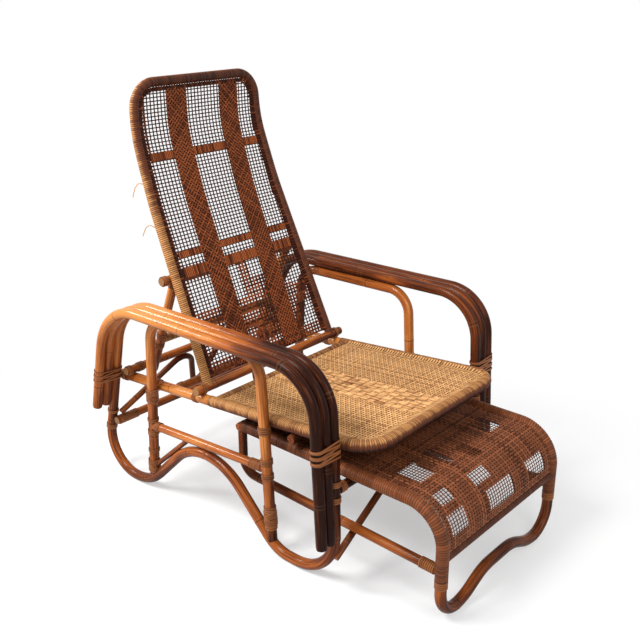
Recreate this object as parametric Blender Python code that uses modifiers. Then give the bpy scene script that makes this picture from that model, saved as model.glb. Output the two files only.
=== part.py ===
"""Rattan chaise longue with a reclining back and a pull-out footrest.

Bent rattan poles make two side frames, joined by cross bars. Each side frame has an arm of
three strands lying side by side, a pair of foot loops and an inner hoop. A woven seat lies
between them. The woven back turns on the bar at its foot and leans on a hinged stay. The
footrest slides out from under the seat. Metres, +Z up, -Y is the front, +X the sitter's left.
Lengths along Y are drawn from the front foot, and the whole chair is centred at the end.
"""
import bmesh
import bpy
from math import atan, cos, pi, radians, sin, sqrt, tan
from mathutils import Matrix, Vector

# Poles and canes
POLE = 0.028
CROSS_POLE = 0.024
BRACE_POLE = 0.018
SMALL_BRACE = 0.014
CANE_WRAP = 0.001
BACK_POLE = 0.025
HINGE_BAR = 0.025
SHEET = 0.003
BINDING = 0.002
GAP = 0.0003
COPE_SHORT = 0.006
ARC_STEP = radians(11)
WELD = 0.00001
CORNER_STEPS = 6

# Side frames and arms
SIDE_X = 0.296
STRANDS = 3
ARM_FRONT_Y = -0.056
ARM_FRONT_Z = 0.561
ARM_REAR_Y = 0.680
ARM_REAR_Z = 0.548
ARM_FRONT_BEND = 0.118
ARM_REAR_BEND = 0.165
FRONT_LEAN = radians(3.5)
REAR_LEAN = radians(13)
FRONT_CUT_Z = 0.135
REAR_CUT_Z = 0.225
FRONT_BINDING_Z = 0.368
FRONT_BINDING_HEIGHT = 0.044
REAR_BINDING_Z = 0.325
REAR_BINDING_HEIGHT = 0.036

# Foot loops
FOOT_WEAR = 0.001
FLOOR_BLOCK = (2, 3, 0.1)
REAR_FOOT_Y = 0.610
REAR_CORNER_BEND = 0.100
REAR_RISE_BEND = 0.150
FRONT_FOOT_Y = 0.115
FRONT_CORNER_BEND = 0.125
FRONT_RISE_BEND = 0.100
FRONT_LOOP_LEAN = radians(1.3)

# Inner hoops and side rails
HOOP_FRONT_Y = 0.164
HOOP_REAR_Y = 0.562
HOOP_REAR_LEAN = radians(3.1)
HOOP_BEND = 0.066
LOWER_RAIL_FRONT_Z = 0.234
LOWER_RAIL_REAR_Z = 0.204
SIDE_BRACE_FOOT_Z = 0.072
SIDE_BRACE_TOP_Y = 0.430

# Seat
SEAT_X = 0.264
SEAT_LEVEL = 0.363
SEAT_SLOPE = 0.085
SEAT_FRONT_Y = -0.150
SEAT_REAR_Y = 0.375
SEAT_CORNER = 0.070
SEAT_RAIL_REAR_Y = 0.750
SEAT_SHEET_RISE = 0.006

# Cross bars of the frame
UPPER_BAR_Y = 0.690
UPPER_BAR_PAST_RAIL = 0.030
LOWER_BAR_Z = 0.165
LOWER_BAR_PAST_LOOP = 0.006
SEAT_BACK_BAR_Y = 0.520
STOP_BAR_Y = 0.082
STOP_BAR_HALF = 0.277
FRONT_ARCH_FOOT_Z = 0.076
FRONT_ARCH_BEND = 0.120
REAR_BRACE_SHORT = 0.016
REAR_BRACE_HUMP_X = 0.068
REAR_BRACE_HUMP_BEND = 0.048
REAR_BRACE_VALLEY_BEND = 0.020
REAR_BRACE_CORNER_RISE = 0.02976

# Back and its stay
HINGE_Y = 0.405
HINGE_HALF = 0.288
BACK_HALF_FOOT = 0.243
BACK_HALF_TOP = 0.214
BACK_WAIST_Y = 0.608
BACK_WAIST_Z = 0.805
BACK_WAIST_BEND = 0.900
BACK_NECK_Y = 0.668
BACK_NECK_Z = 0.975
BACK_NECK_BEND = 0.350
BACK_TOP_Y = 0.673
BACK_TOP_Z = 1.103
BACK_CORNER = 0.068
BACK_OPENING_STOPS = (0.128, 0.198)
BACK_MIDDLE_HALF = 0.060
NET_BAR = 0.006
STAY_REACH = 0.296
STAY_HALF = 0.262
STAY_LEG_X = 0.215
STAY_CROSSBAR_AT = 0.210
STAY_FOOT_PAST = 0.002
SADDLE_WIDTH = 0.010
SADDLE_WALL = 0.003
SADDLE_PLAY = 0.001

# Open net between the close-woven bands of the back: for each row of openings, its start and
# end along the panel, and which columns are open (o), from the sitter's right to the left
BACK_NET = (
    (0.040, 0.090, "ooo ----- -oo"),
    (0.095, 0.150, "--- ---oo o--"),
    (0.170, 0.202, "ooo oo-oo -oo"),
    (0.208, 0.240, "ooo oo-oo -oo"),
    (0.288, 0.322, "ooo ooooo ooo"),
    (0.345, 0.381, "ooo ooooo ooo"),
    (0.387, 0.423, "ooo ooooo ooo"),
    (0.429, 0.465, "ooo ooooo ooo"),
    (0.471, 0.507, "ooo ooooo ooo"),
    (0.513, 0.549, "ooo ooooo ooo"),
    (0.555, 0.575, "ooo ooooo ooo"),
    (0.600, 0.636, "ooo ooooo ooo"),
    (0.642, 0.678, "ooo ooooo ooo"),
    (0.684, 0.720, "ooo ooooo ooo"),
)

# Footrest
FOOTREST_X = 0.245
FOOTREST_Z = 0.286
FOOTREST_FRONT_Y = -0.337
FOOTREST_BEND = 0.095
FOOTREST_BAR_Y = 0.280
FOOTREST_BAR_HALF = 0.259
FOOTREST_BAR = 0.023
FOOTREST_JOINT_Z = 0.112
FOOTREST_LOWER_Z = 0.155
FOOTREST_LOWER_FRONT_Z = 0.137
FOOTREST_LOWER_BEND = 0.045
FOOTREST_HEM_Z = 0.167
FOOTREST_HEM = 0.022
FOOTREST_OPENING_STOPS = (0.145, 0.205)
FOOTREST_MIDDLE_HALF = 0.050

# The same for the two open rows of the footrest, just below its bend
FOOTREST_NET = (
    (0.598, 0.625, "oo oooo oo"),
    (0.631, 0.655, "oo oooo oo"),
)
LOOP_CORNER_BEND = 0.068
LOOP_FLAT_X = 0.150
LOOP_HUMP_X = 0.065
LOOP_HUMP_Z = 0.052
LOOP_SWEEP = 0.140

SIDES = (("left", 1), ("right", -1))
RIM = POLE + 2 * CANE_WRAP
FOOTREST_RAIL = POLE + 3 * CANE_WRAP
STRAND_PITCH = POLE + GAP
UPPER_BAR_HALF = SEAT_X + UPPER_BAR_PAST_RAIL
LOWER_BAR_HALF = SIDE_X + LOWER_BAR_PAST_LOOP
REAR_BRACE_HALF = LOWER_BAR_HALF - REAR_BRACE_SHORT
FOOT_Z = POLE / 2 - FOOT_WEAR

# Colours: honey and dark varnished rattan, cane wrapping and woven cane
HONEY = (0.52, 0.25, 0.09, 1)
CHESTNUT = (0.24, 0.085, 0.03, 1)
DARK = (0.09, 0.03, 0.014, 1)
STRAW = (0.62, 0.38, 0.17, 1)
WEAVE_BROWN = (0.22, 0.075, 0.025, 1)
WEAVE_GOLD = (0.60, 0.36, 0.15, 1)
VARNISH_ROUGHNESS = 0.32
WOVEN_ROUGHNESS = 0.55


def clear_scene():
    for old in list(bpy.data.objects):
        bpy.data.objects.remove(old, do_unlink=True)


def new_collection(name):
    group = bpy.data.collections.new(name)
    bpy.context.scene.collection.children.link(group)
    return group


def finish(obj, colour, roughness):
    material = bpy.data.materials.new(obj.name + "_finish")
    material.use_nodes = True
    shader = material.node_tree.nodes["Principled BSDF"]
    shader.inputs["Base Color"].default_value = colour
    shader.inputs["Roughness"].default_value = roughness
    shader.inputs["Metallic"].default_value = 0.0
    material.diffuse_color = colour
    obj.data.materials.clear()
    obj.data.materials.append(material)


def rounded(corners, bends):
    """Points of a path through the corners, each inner corner replaced by an arc."""
    points = [Vector(corners[0])]
    for i, bend in enumerate(bends, start=1):
        here = Vector(corners[i])
        back = (Vector(corners[i - 1]) - here).normalized()
        on = (Vector(corners[i + 1]) - here).normalized()
        opening = back.angle(on)
        turn = pi - opening
        centre = here + (back + on).normalized() * bend / sin(opening / 2)
        start = here + back * bend / tan(opening / 2)
        axis = (start - centre).cross(-back).normalized()
        steps = max(2, round(turn / ARC_STEP))
        for k in range(steps + 1):
            points.append(centre + Matrix.Rotation(turn * k / steps, 3, axis) @ (start - centre))
    points.append(Vector(corners[-1]))
    return points


def drawn_in(path, start=COPE_SHORT, end=COPE_SHORT):
    """The path with its ends stopping short of the centre line of the pole they meet."""
    path = [Vector(point) for point in path]
    path[0] += (path[1] - path[0]).normalized() * start
    path[-1] += (path[-2] - path[-1]).normalized() * end
    return path


def tube_curve(name, path, diameter):
    curve = bpy.data.curves.new(name, "CURVE")
    curve.dimensions = "3D"
    curve.bevel_depth = diameter / 2
    curve.bevel_resolution = 4
    curve.use_fill_caps = True
    spline = curve.splines.new("POLY")
    spline.points.add(len(path) - 1)
    for point, place in zip(spline.points, path):
        point.co = (*place, 1)
    return bpy.data.objects.new(name, curve)


def as_mesh(obj, group):
    """The tube as one welded mesh, so that it can be cut."""
    name = obj.name
    obj.name = name + "_curve"
    bpy.context.scene.collection.objects.link(obj)
    graph = bpy.context.evaluated_depsgraph_get()
    mesh = bpy.data.meshes.new_from_object(obj.evaluated_get(graph))
    mesh.name = name
    solid = bmesh.new()
    solid.from_mesh(mesh)
    bmesh.ops.remove_doubles(solid, verts=solid.verts, dist=WELD)
    bmesh.ops.recalc_face_normals(solid, faces=solid.faces)
    solid.to_mesh(mesh)
    solid.free()
    made = bpy.data.objects.new(name, mesh)
    made.matrix_world = obj.matrix_world
    group.objects.link(made)
    bpy.data.objects.remove(obj, do_unlink=True)
    return made


def pole(name, path, diameter, colour, roughness=VARNISH_ROUGHNESS):
    """A round pole along a path, with filled ends."""
    obj = as_mesh(tube_curve(name, path, diameter), parts)
    obj.data.shade_smooth()
    obj.data.set_sharp_from_angle(angle=radians(40))
    finish(obj, colour, roughness)
    return obj


def cut(obj, cutter):
    cutter.hide_render = True
    cutter.display_type = "WIRE"
    shave = obj.modifiers.new("cut", "BOOLEAN")
    shave.operation = "DIFFERENCE"
    shave.solver = "EXACT"
    shave.object = cutter


def cope(obj, path, diameter):
    """Hollow the end of a pole to sit round another pole, with the fitting gap."""
    tool = tube_curve("cope_" + obj.name, path, diameter + 2 * GAP)
    cut(obj, as_mesh(tool, cutters))


def wear_flat(obj):
    """The small worn flat where a foot stands on the floor."""
    bpy.ops.mesh.primitive_cube_add(size=1)
    block = bpy.context.object
    block.name = "floor_under_" + obj.name
    block.data.transform(Matrix.Diagonal((*FLOOR_BLOCK, 1)))
    block.location = (0, HUMP_Y, -FLOOR_BLOCK[2] / 2)
    for old in list(block.users_collection):
        old.objects.unlink(block)
    cutters.objects.link(block)
    cut(obj, block)


def front_line(z):
    return ARM_FRONT_Y - (ARM_FRONT_Z - z) * tan(FRONT_LEAN)


LOOP_LEAN_FROM_Z = FRONT_BINDING_Z - FRONT_BINDING_HEIGHT / 2


def loop_front_line(z):
    """The front foot loop leans less than the strands beside it, from the binding down."""
    return front_line(LOOP_LEAN_FROM_Z) - (LOOP_LEAN_FROM_Z - z) * tan(FRONT_LOOP_LEAN)


def rear_line(z):
    return ARM_REAR_Y + (ARM_REAR_Z - z) * tan(REAR_LEAN)


def arm_z(y):
    return ARM_FRONT_Z + (ARM_REAR_Z - ARM_FRONT_Z) * (y - ARM_FRONT_Y) / (ARM_REAR_Y - ARM_FRONT_Y)


def arm_path(x, front_z, rear_z):
    corners = [(x, front_line(front_z), front_z), (x, ARM_FRONT_Y, ARM_FRONT_Z),
               (x, ARM_REAR_Y, ARM_REAR_Z), (x, rear_line(rear_z), rear_z)]
    return rounded(corners, [ARM_FRONT_BEND, ARM_REAR_BEND])


def hoop_front_line(z):
    return HOOP_FRONT_Y - (ARM_FRONT_Z - z) * tan(FRONT_LEAN)


def hoop_rear_line(z):
    return HOOP_REAR_Y + (ARM_REAR_Z - z) * tan(HOOP_REAR_LEAN)


def lower_rail_z(y):
    front = hoop_front_line(LOWER_RAIL_FRONT_Z)
    rear = hoop_rear_line(LOWER_RAIL_REAR_Z)
    return LOWER_RAIL_FRONT_Z + (LOWER_RAIL_REAR_Z - LOWER_RAIL_FRONT_Z) * (y - front) / (rear - front)


HUMP_Y = (REAR_FOOT_Y + FRONT_FOOT_Y) / 2
HUMP_CORNER_Z = FOOT_Z + (REAR_FOOT_Y - FRONT_FOOT_Y) / 2
HUMP_TOP_Z = lower_rail_z(HUMP_Y) - POLE - 3 * GAP
HUMP_BEND = (HUMP_CORNER_Z - HUMP_TOP_Z) / (sqrt(2) - 1)


def loop_path(x):
    """The rear foot, the hump under the lower rail and the front foot, as one line."""
    corners = [(x, rear_line(REAR_BINDING_Z), REAR_BINDING_Z), (x, rear_line(FOOT_Z), FOOT_Z),
               (x, REAR_FOOT_Y, FOOT_Z), (x, HUMP_Y, HUMP_CORNER_Z), (x, FRONT_FOOT_Y, FOOT_Z),
               (x, loop_front_line(FOOT_Z), FOOT_Z),
               (x, loop_front_line(LOOP_LEAN_FROM_Z), LOOP_LEAN_FROM_Z)]
    bends = [REAR_CORNER_BEND, REAR_RISE_BEND, HUMP_BEND, FRONT_RISE_BEND, FRONT_CORNER_BEND]
    return rounded(corners, bends) + [Vector((x, front_line(FRONT_BINDING_Z), FRONT_BINDING_Z))]


def split_at_hump(path):
    """The loop's rear and front lengths, with a fitting gap at the splice on the hump."""
    x = path[0].x
    rear = [p for p in path if p.y > HUMP_Y + POLE / 2]
    front = [p for p in path if p.y < HUMP_Y - POLE / 2]
    rear += [Vector((x, HUMP_Y + step, HUMP_TOP_Z)) for step in (POLE / 3, GAP / 2)]
    front = [Vector((x, HUMP_Y - step, HUMP_TOP_Z)) for step in (GAP / 2, POLE / 3)] + front
    return rear, front


def height_on(path, y):
    """Height of a path where it first passes y."""
    for a, b in zip(path, path[1:]):
        if min(a.y, b.y) <= y <= max(a.y, b.y) and a.y != b.y:
            return a.z + (b.z - a.z) * (y - a.y) / (b.y - a.y)
    raise ValueError("the path does not reach this place")


def hoop_path(x, loops):
    """The inner hoop, from the rear foot loop up under the arm and down to the front loop."""
    rear_loop, front_loop = loops
    drop = POLE + GAP
    rear_y = hoop_rear_line(FOOT_Z)
    front_y = hoop_front_line(FOOT_Z)
    lower_rear = [p for p in rear_loop if p.y < rear_line(FOOT_Z) - REAR_CORNER_BEND]
    lower_front = [p for p in front_loop if p.z < SIDE_BRACE_FOOT_Z + POLE]
    rear_end = height_on(lower_rear, rear_y)
    front_end = height_on(lower_front, front_y)
    corners = [(x, hoop_rear_line(rear_end), rear_end),
               (x, hoop_rear_line(arm_z(HOOP_REAR_Y) - drop), arm_z(HOOP_REAR_Y) - drop),
               (x, hoop_front_line(arm_z(HOOP_FRONT_Y) - drop), arm_z(HOOP_FRONT_Y) - drop),
               (x, hoop_front_line(front_end), front_end)]
    return rounded(corners, [HOOP_BEND, HOOP_BEND])


def binding(name, y, z, lean, height, inner, outer, sign):
    """A flat band of cane wound round the strands of an arm, hollow inside."""
    middle = (inner + outer) / 2
    reach = (outer - inner) / 2
    curve = bpy.data.curves.new(name, "CURVE")
    curve.dimensions = "2D"
    curve.fill_mode = "BOTH"
    curve.extrude = height / 2
    for wall in (POLE / 2 + GAP + BINDING, POLE / 2 + GAP):
        spline = curve.splines.new("POLY")
        spline.use_cyclic_u = True
        turns = 12
        ring = []
        for k in range(2 * turns + 2):
            end = 1 if k <= turns else -1
            angle = -pi / 2 + pi * (k if k <= turns else k - 1) / turns
            radius = wall / cos(pi / (2 * turns))
            ring.append((end * reach + radius * cos(angle), radius * sin(angle)))
        spline.points.add(len(ring) - 1)
        for point, place in zip(spline.points, ring):
            point.co = (*place, 0, 1)
    obj = bpy.data.objects.new(name, curve)
    parts.objects.link(obj)
    obj.location = (sign * middle, y, z)
    obj.rotation_euler = (lean, 0, 0)
    finish(obj, DARK, WOVEN_ROUGHNESS)
    return obj


def seat_z(y):
    return SEAT_LEVEL - SEAT_SLOPE * y


def seat_rail_line(sign):
    return [Vector((sign * SEAT_X, y, seat_z(y))) for y in (SEAT_REAR_Y + GAP, SEAT_RAIL_REAR_Y)]


def side_frame(side, sign):
    """One side frame: arm strands, foot loops, inner hoop, rails and bindings."""
    x = sign * SIDE_X
    for order, name in ((1, "middle"), (2, "outer")):
        strand_x = sign * (SIDE_X + order * STRAND_PITCH)
        path = arm_path(strand_x, FRONT_CUT_Z, REAR_CUT_Z)
        pole(f"arm_strand_{name}_{side}", path, POLE, HONEY)
    arm = arm_path(x, FRONT_BINDING_Z + GAP / 2, REAR_BINDING_Z + GAP / 2)
    pole(f"arm_pole_{side}", arm, POLE, HONEY)
    rear_loop, front_loop = split_at_hump(loop_path(x))
    wear_flat(pole(f"foot_loop_rear_{side}", rear_loop, POLE, CHESTNUT))
    wear_flat(pole(f"foot_loop_front_{side}", front_loop, POLE, CHESTNUT))
    hoop_line = hoop_path(x, (rear_loop, front_loop))
    hoop = pole(f"inner_hoop_{side}", drawn_in(hoop_line), POLE, HONEY)
    cope(hoop, rear_loop, POLE)
    cope(hoop, front_loop, POLE)
    rail_line = [Vector((x, y, lower_rail_z(y))) for y in (hoop_rear_line(LOWER_RAIL_REAR_Z),
                                                          hoop_front_line(LOWER_RAIL_FRONT_Z))]
    rail = pole(f"lower_side_rail_{side}", rail_line, CROSS_POLE, CHESTNUT)
    cope(rail, hoop_line, POLE)
    brace_foot = Vector((x, hoop_rear_line(SIDE_BRACE_FOOT_Z), SIDE_BRACE_FOOT_Z))
    brace_top = Vector((x, SIDE_BRACE_TOP_Y, lower_rail_z(SIDE_BRACE_TOP_Y)))
    brace = pole(f"side_brace_{side}", [brace_foot, brace_top], SMALL_BRACE, DARK)
    cope(brace, hoop_line, POLE)
    cope(brace, rail_line, CROSS_POLE)
    cope(brace, rear_loop, POLE)
    pole(f"seat_side_rail_{side}", seat_rail_line(sign), POLE, HONEY)
    outer = SIDE_X + (STRANDS - 1) * STRAND_PITCH
    binding(f"front_binding_{side}", front_line(FRONT_BINDING_Z), FRONT_BINDING_Z, -FRONT_LEAN,
            FRONT_BINDING_HEIGHT, SIDE_X, outer, sign)
    binding(f"rear_binding_{side}", rear_line(REAR_BINDING_Z), REAR_BINDING_Z, REAR_LEAN,
            REAR_BINDING_HEIGHT, SIDE_X, outer, sign)
    return rear_loop, front_loop


UPPER_BAR_Z = seat_z(UPPER_BAR_Y) + (POLE + CROSS_POLE) / 2 + 3 * GAP
LOWER_BAR_Y = rear_line(LOWER_BAR_Z) - (POLE + CROSS_POLE) / 2 / cos(REAR_LEAN) - 2 * GAP
FRONT_BAR_Z = FOOTREST_Z - (FOOTREST_RAIL + CROSS_POLE) / 2 - GAP


def across(y, z, half):
    return [Vector((-half, y, z)), Vector((half, y, z))]


def cross_bars(loops):
    """The bars that join the two side frames."""
    pole("rear_upper_bar", across(UPPER_BAR_Y, UPPER_BAR_Z, UPPER_BAR_HALF), CROSS_POLE, CHESTNUT)
    pole("rear_lower_bar", across(LOWER_BAR_Y, LOWER_BAR_Z, LOWER_BAR_HALF), CROSS_POLE, CHESTNUT)
    stop_z = seat_z(STOP_BAR_Y) - (RIM + CROSS_POLE) / 2 - 3 * GAP
    pole("footrest_guide_bar", across(STOP_BAR_Y, stop_z, STOP_BAR_HALF), CROSS_POLE, DARK)
    seat_bar = across(SEAT_BACK_BAR_Y, seat_z(SEAT_BACK_BAR_Y), SEAT_X)
    bar = pole("rear_seat_bar", drawn_in(seat_bar), CROSS_POLE, CHESTNUT)
    front_y = loop_front_line(FRONT_BAR_Z)
    front_bar = pole("front_bar", drawn_in(across(front_y, FRONT_BAR_Z, SIDE_X)), CROSS_POLE, DARK)
    peak = FRONT_BAR_Z - (CROSS_POLE + BRACE_POLE) / 2 - GAP
    half_turn = atan((peak - FRONT_ARCH_FOOT_Z) / SIDE_X)
    corner = peak + FRONT_ARCH_BEND * (1 / cos(half_turn) - 1)
    arch_y = loop_front_line(FRONT_ARCH_FOOT_Z)
    foot = (-SIDE_X, arch_y, FRONT_ARCH_FOOT_Z)
    arch_path = rounded([foot, (0, front_y, corner), (SIDE_X, arch_y, FRONT_ARCH_FOOT_Z)],
                        [FRONT_ARCH_BEND])
    arch = pole("front_arch", arch_path, BRACE_POLE, DARK)
    cope(arch, across(front_y, FRONT_BAR_Z, SIDE_X), CROSS_POLE)
    for sign, (rear_loop, front_loop) in loops.items():
        cope(front_bar, front_loop, POLE)
        cope(arch, front_loop, POLE)
        cope(bar, seat_rail_line(sign), POLE)
    rear_brace()


def rear_brace():
    """The double-humped brace between the two rear bars."""
    low = LOWER_BAR_Z + (CROSS_POLE + BRACE_POLE) / 2 + GAP
    high = UPPER_BAR_Z - (CROSS_POLE + BRACE_POLE) / 2 - 3 * GAP
    top = high + REAR_BRACE_CORNER_RISE
    steep = atan((top - low) / REAR_BRACE_HUMP_X)
    valley = low - REAR_BRACE_VALLEY_BEND * (1 / cos(steep) - 1)

    def leaning(x, z):
        part_way = (z - low) / (high - low)
        return (x, LOWER_BAR_Y + (UPPER_BAR_Y - LOWER_BAR_Y) * part_way, z)

    corners = [leaning(-REAR_BRACE_HALF, low), leaning(-REAR_BRACE_HUMP_X, top), leaning(0, valley),
               leaning(REAR_BRACE_HUMP_X, top), leaning(REAR_BRACE_HALF, low)]
    bends = [REAR_BRACE_HUMP_BEND, REAR_BRACE_VALLEY_BEND, REAR_BRACE_HUMP_BEND]
    brace = pole("rear_arch_brace", rounded(corners, bends), BRACE_POLE, CHESTNUT)
    cope(brace, across(UPPER_BAR_Y, UPPER_BAR_Z, UPPER_BAR_HALF), CROSS_POLE)
    cope(brace, across(LOWER_BAR_Y, LOWER_BAR_Z, LOWER_BAR_HALF), CROSS_POLE)


def net_columns(middle_half, side_stops, counts):
    """The edges of the openings across a panel, side, middle and side."""
    edges = []
    spans = ((-side_stops[1], -side_stops[0]), (-middle_half, middle_half), side_stops)
    for (low, high), count in zip(spans, counts):
        width = (high - low - (count - 1) * NET_BAR) / count
        for k in range(count):
            start = low + k * (width + NET_BAR)
            edges += [start, start + width]
    return edges


def net_rows(rows, net):
    """The rows of a panel with one more at each edge of the openings, and each row's run."""
    runs = [0]
    for (_, y0, z0), (_, y1, z1) in zip(rows, rows[1:]):
        runs.append(runs[-1] + sqrt((y1 - y0) ** 2 + (z1 - z0) ** 2))
    edges = [edge for start, end, _ in net for edge in (start, end)]
    fixed = [run for run in runs if all(abs(run - edge) > NET_BAR / 4 for edge in edges)]
    stops = sorted(set(edges + fixed + [runs[0], runs[-1]]))
    placed = []
    for stop in stops:
        k = max(i for i, run in enumerate(runs[:-1]) if run <= stop)
        share = (stop - runs[k]) / (runs[k + 1] - runs[k])
        low, high = Vector(rows[k]), Vector(rows[k + 1])
        placed.append(tuple(low.lerp(high, share)))
    return placed, stops


def sheet_grid(name, rows, colour, columns=(), net=()):
    """A woven panel: rows of (half width, y, z) joined by faces, opened by a net of holes."""
    mesh = bpy.data.meshes.new(name)
    grid = bmesh.new()
    rows, stops = net_rows(rows, net) if net else (rows, [0] * len(rows))
    lines = []
    for half, y, z in rows:
        draw_in = min(1, (half - NET_BAR) / columns[-1]) if columns else 1
        xs = [-half] + [x * draw_in for x in columns] + [half]
        lines.append([grid.verts.new((x, y, z)) for x in xs])
    for row, (low, high) in enumerate(zip(lines, lines[1:])):
        middle = (stops[row] + stops[row + 1]) / 2
        marks = [pattern.replace(" ", "") for start, end, pattern in net if start < middle < end]
        for k in range(len(low) - 1):
            is_opening = bool(marks) and k % 2 == 1 and marks[0][k // 2] == "o"
            if not is_opening:
                grid.faces.new((low[k], low[k + 1], high[k + 1], high[k]))
    bmesh.ops.delete(grid, geom=[v for v in grid.verts if not v.link_faces], context="VERTS")
    grid.to_mesh(mesh)
    grid.free()
    obj = bpy.data.objects.new(name, mesh)
    parts.objects.link(obj)
    thick = obj.modifiers.new("thickness", "SOLIDIFY")
    thick.thickness = SHEET
    thick.offset = 0
    thick.use_even_offset = True
    finish(obj, colour, WOVEN_ROUGHNESS)
    return obj


def seat():
    """The wrapped rim of the seat, the bar at its back edge and the woven panel."""
    rail = (SEAT_X, SEAT_FRONT_Y, SEAT_REAR_Y)
    corners = [(-rail[0], rail[2], seat_z(rail[2])), (-rail[0], rail[1], seat_z(rail[1])),
               (rail[0], rail[1], seat_z(rail[1])), (rail[0], rail[2], seat_z(rail[2]))]
    rim_path = rounded(corners, [SEAT_CORNER, SEAT_CORNER])
    pole("seat_rim", rim_path, RIM, STRAW, WOVEN_ROUGHNESS)
    bar_y = SEAT_REAR_Y - RIM / 2
    bar = pole("seat_rear_bar", across(bar_y, seat_z(bar_y), SEAT_X), CROSS_POLE, STRAW, WOVEN_ROUGHNESS)
    cope(bar, rim_path, RIM)
    inset = RIM / 2 + GAP
    front = SEAT_FRONT_Y + inset
    rear = bar_y - CROSS_POLE / 2 - GAP
    inner_corner = SEAT_CORNER - inset
    rows = []
    for k in range(CORNER_STEPS + 1):
        angle = pi / 2 * k / CORNER_STEPS
        y = front + inner_corner * (1 - cos(angle))
        half = SEAT_X - inset - inner_corner * (1 - sin(angle))
        rows.append((half, y, seat_z(y) + SEAT_SHEET_RISE))
    rows.append((SEAT_X - inset, rear, seat_z(rear) + SEAT_SHEET_RISE))
    sheet_grid("seat_weave", rows, WEAVE_GOLD)


HINGE_Z = seat_z(HINGE_Y) + (POLE + HINGE_BAR) / 2 + 2 * GAP
BACK_LEAN = atan((BACK_WAIST_Y - HINGE_Y) / (BACK_WAIST_Z - HINGE_Z))
BACK_UP = Vector((0, sin(BACK_LEAN), cos(BACK_LEAN)))
BACK_REARWARD = Vector((0, cos(BACK_LEAN), -sin(BACK_LEAN)))
HINGE = Vector((0, HINGE_Y, HINGE_Z))
STAY_PIVOT = HINGE + BACK_UP * STAY_REACH + BACK_REARWARD * ((BACK_POLE + CROSS_POLE) / 2 + GAP)


def back_half(z):
    return BACK_HALF_FOOT + (BACK_HALF_TOP - BACK_HALF_FOOT) * (z - HINGE_Z) / (BACK_TOP_Z - HINGE_Z)


def back():
    """The back: bottom bar that it turns on, wrapped rim and woven panel."""
    turning = bpy.data.objects.new("back_hinge_axis", None)
    turning.location = HINGE
    parts.objects.link(turning)
    bar_line = across(HINGE_Y, HINGE_Z, HINGE_HALF)
    bar = pole("back_bottom_bar", bar_line, HINGE_BAR, CHESTNUT)
    side = [(HINGE_Y, HINGE_Z), (BACK_WAIST_Y, BACK_WAIST_Z), (BACK_NECK_Y, BACK_NECK_Z),
            (BACK_TOP_Y, BACK_TOP_Z)]
    corners = [(-back_half(z), y, z) for y, z in side] + [(back_half(z), y, z) for y, z in side[::-1]]
    bends = [BACK_WAIST_BEND, BACK_NECK_BEND, BACK_CORNER]
    rim_path = drawn_in(rounded(corners, bends + bends[::-1]))
    rim = pole("back_rim", rim_path, BACK_POLE, STRAW, WOVEN_ROUGHNESS)
    cope(rim, bar_line, HINGE_BAR)
    inset = BACK_POLE / 2 + GAP
    foot = HINGE + BACK_UP * (HINGE_BAR / 2 + SHEET)
    top = BACK_TOP_Z - inset
    corners = [foot] + [(0, y, z) for y, z in side[1:-1]] + [(0, BACK_TOP_Y, top)]
    profile = rounded(corners, [BACK_WAIST_BEND, BACK_NECK_BEND])
    inner_corner = BACK_CORNER - inset
    low = [p for p in profile if p.z < top - inner_corner]
    rows = [(back_half(p.z) - inset - GAP, p.y, p.z) for p in low]
    for k in range(CORNER_STEPS + 1):
        angle = pi / 2 * k / CORNER_STEPS
        z = top - inner_corner * (1 - sin(angle))
        half = back_half(z) - inset - GAP - inner_corner * (1 - cos(angle))
        rows.append((half, BACK_TOP_Y, z))
    columns = net_columns(BACK_MIDDLE_HALF, BACK_OPENING_STOPS, (3, 5, 3))
    weave = sheet_grid("back_weave", rows, WEAVE_BROWN, columns, BACK_NET)
    for obj in (bar, rim, weave):
        hang_on(obj, turning)
    return turning


def hang_on(obj, carrier):
    obj.parent = carrier
    obj.matrix_parent_inverse = Matrix.Translation(-world_place(carrier))


def world_place(empty):
    place = Vector(empty.location)
    if empty.parent:
        place = place + world_place(empty.parent)
    return place


def stay(turning):
    """The hinged stay behind the back: top bar, two legs and a wrapped crossbar."""
    pivot = bpy.data.objects.new("stay_pivot_axis", None)
    pivot.parent = turning
    pivot.location = STAY_PIVOT - HINGE
    parts.objects.link(pivot)
    top_line = across(STAY_PIVOT.y, STAY_PIVOT.z, STAY_HALF)
    top_bar = pole("stay_top_bar", top_line, CROSS_POLE, CHESTNUT)
    rest = Vector((0, UPPER_BAR_Y, UPPER_BAR_Z)) - STAY_PIVOT
    swing = atan(((CROSS_POLE + BACK_POLE) / 2 + 4 * GAP) / rest.length)
    down = Matrix.Rotation(-swing, 3, "X") @ rest.normalized()
    length = rest.length * cos(swing) + STAY_FOOT_PAST
    legs = []
    for side, sign in SIDES:
        top = Vector((sign * STAY_LEG_X, STAY_PIVOT.y, STAY_PIVOT.z))
        line = [top, top + down * length]
        leg = pole(f"stay_leg_{side}", drawn_in(line, end=0), BACK_POLE, HONEY)
        cope(leg, top_line, CROSS_POLE)
        legs.append((leg, line))
    cross = STAY_PIVOT + down * STAY_CROSSBAR_AT
    cross_line = across(cross.y, cross.z, STAY_LEG_X)
    crossbar = pole("stay_crossbar", cross_line, CROSS_POLE, STRAW, WOVEN_ROUGHNESS)
    for leg, line in legs:
        cope(crossbar, line, BACK_POLE)
        hang_on(leg, pivot)
    hang_on(top_bar, pivot)
    hang_on(crossbar, pivot)


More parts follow.
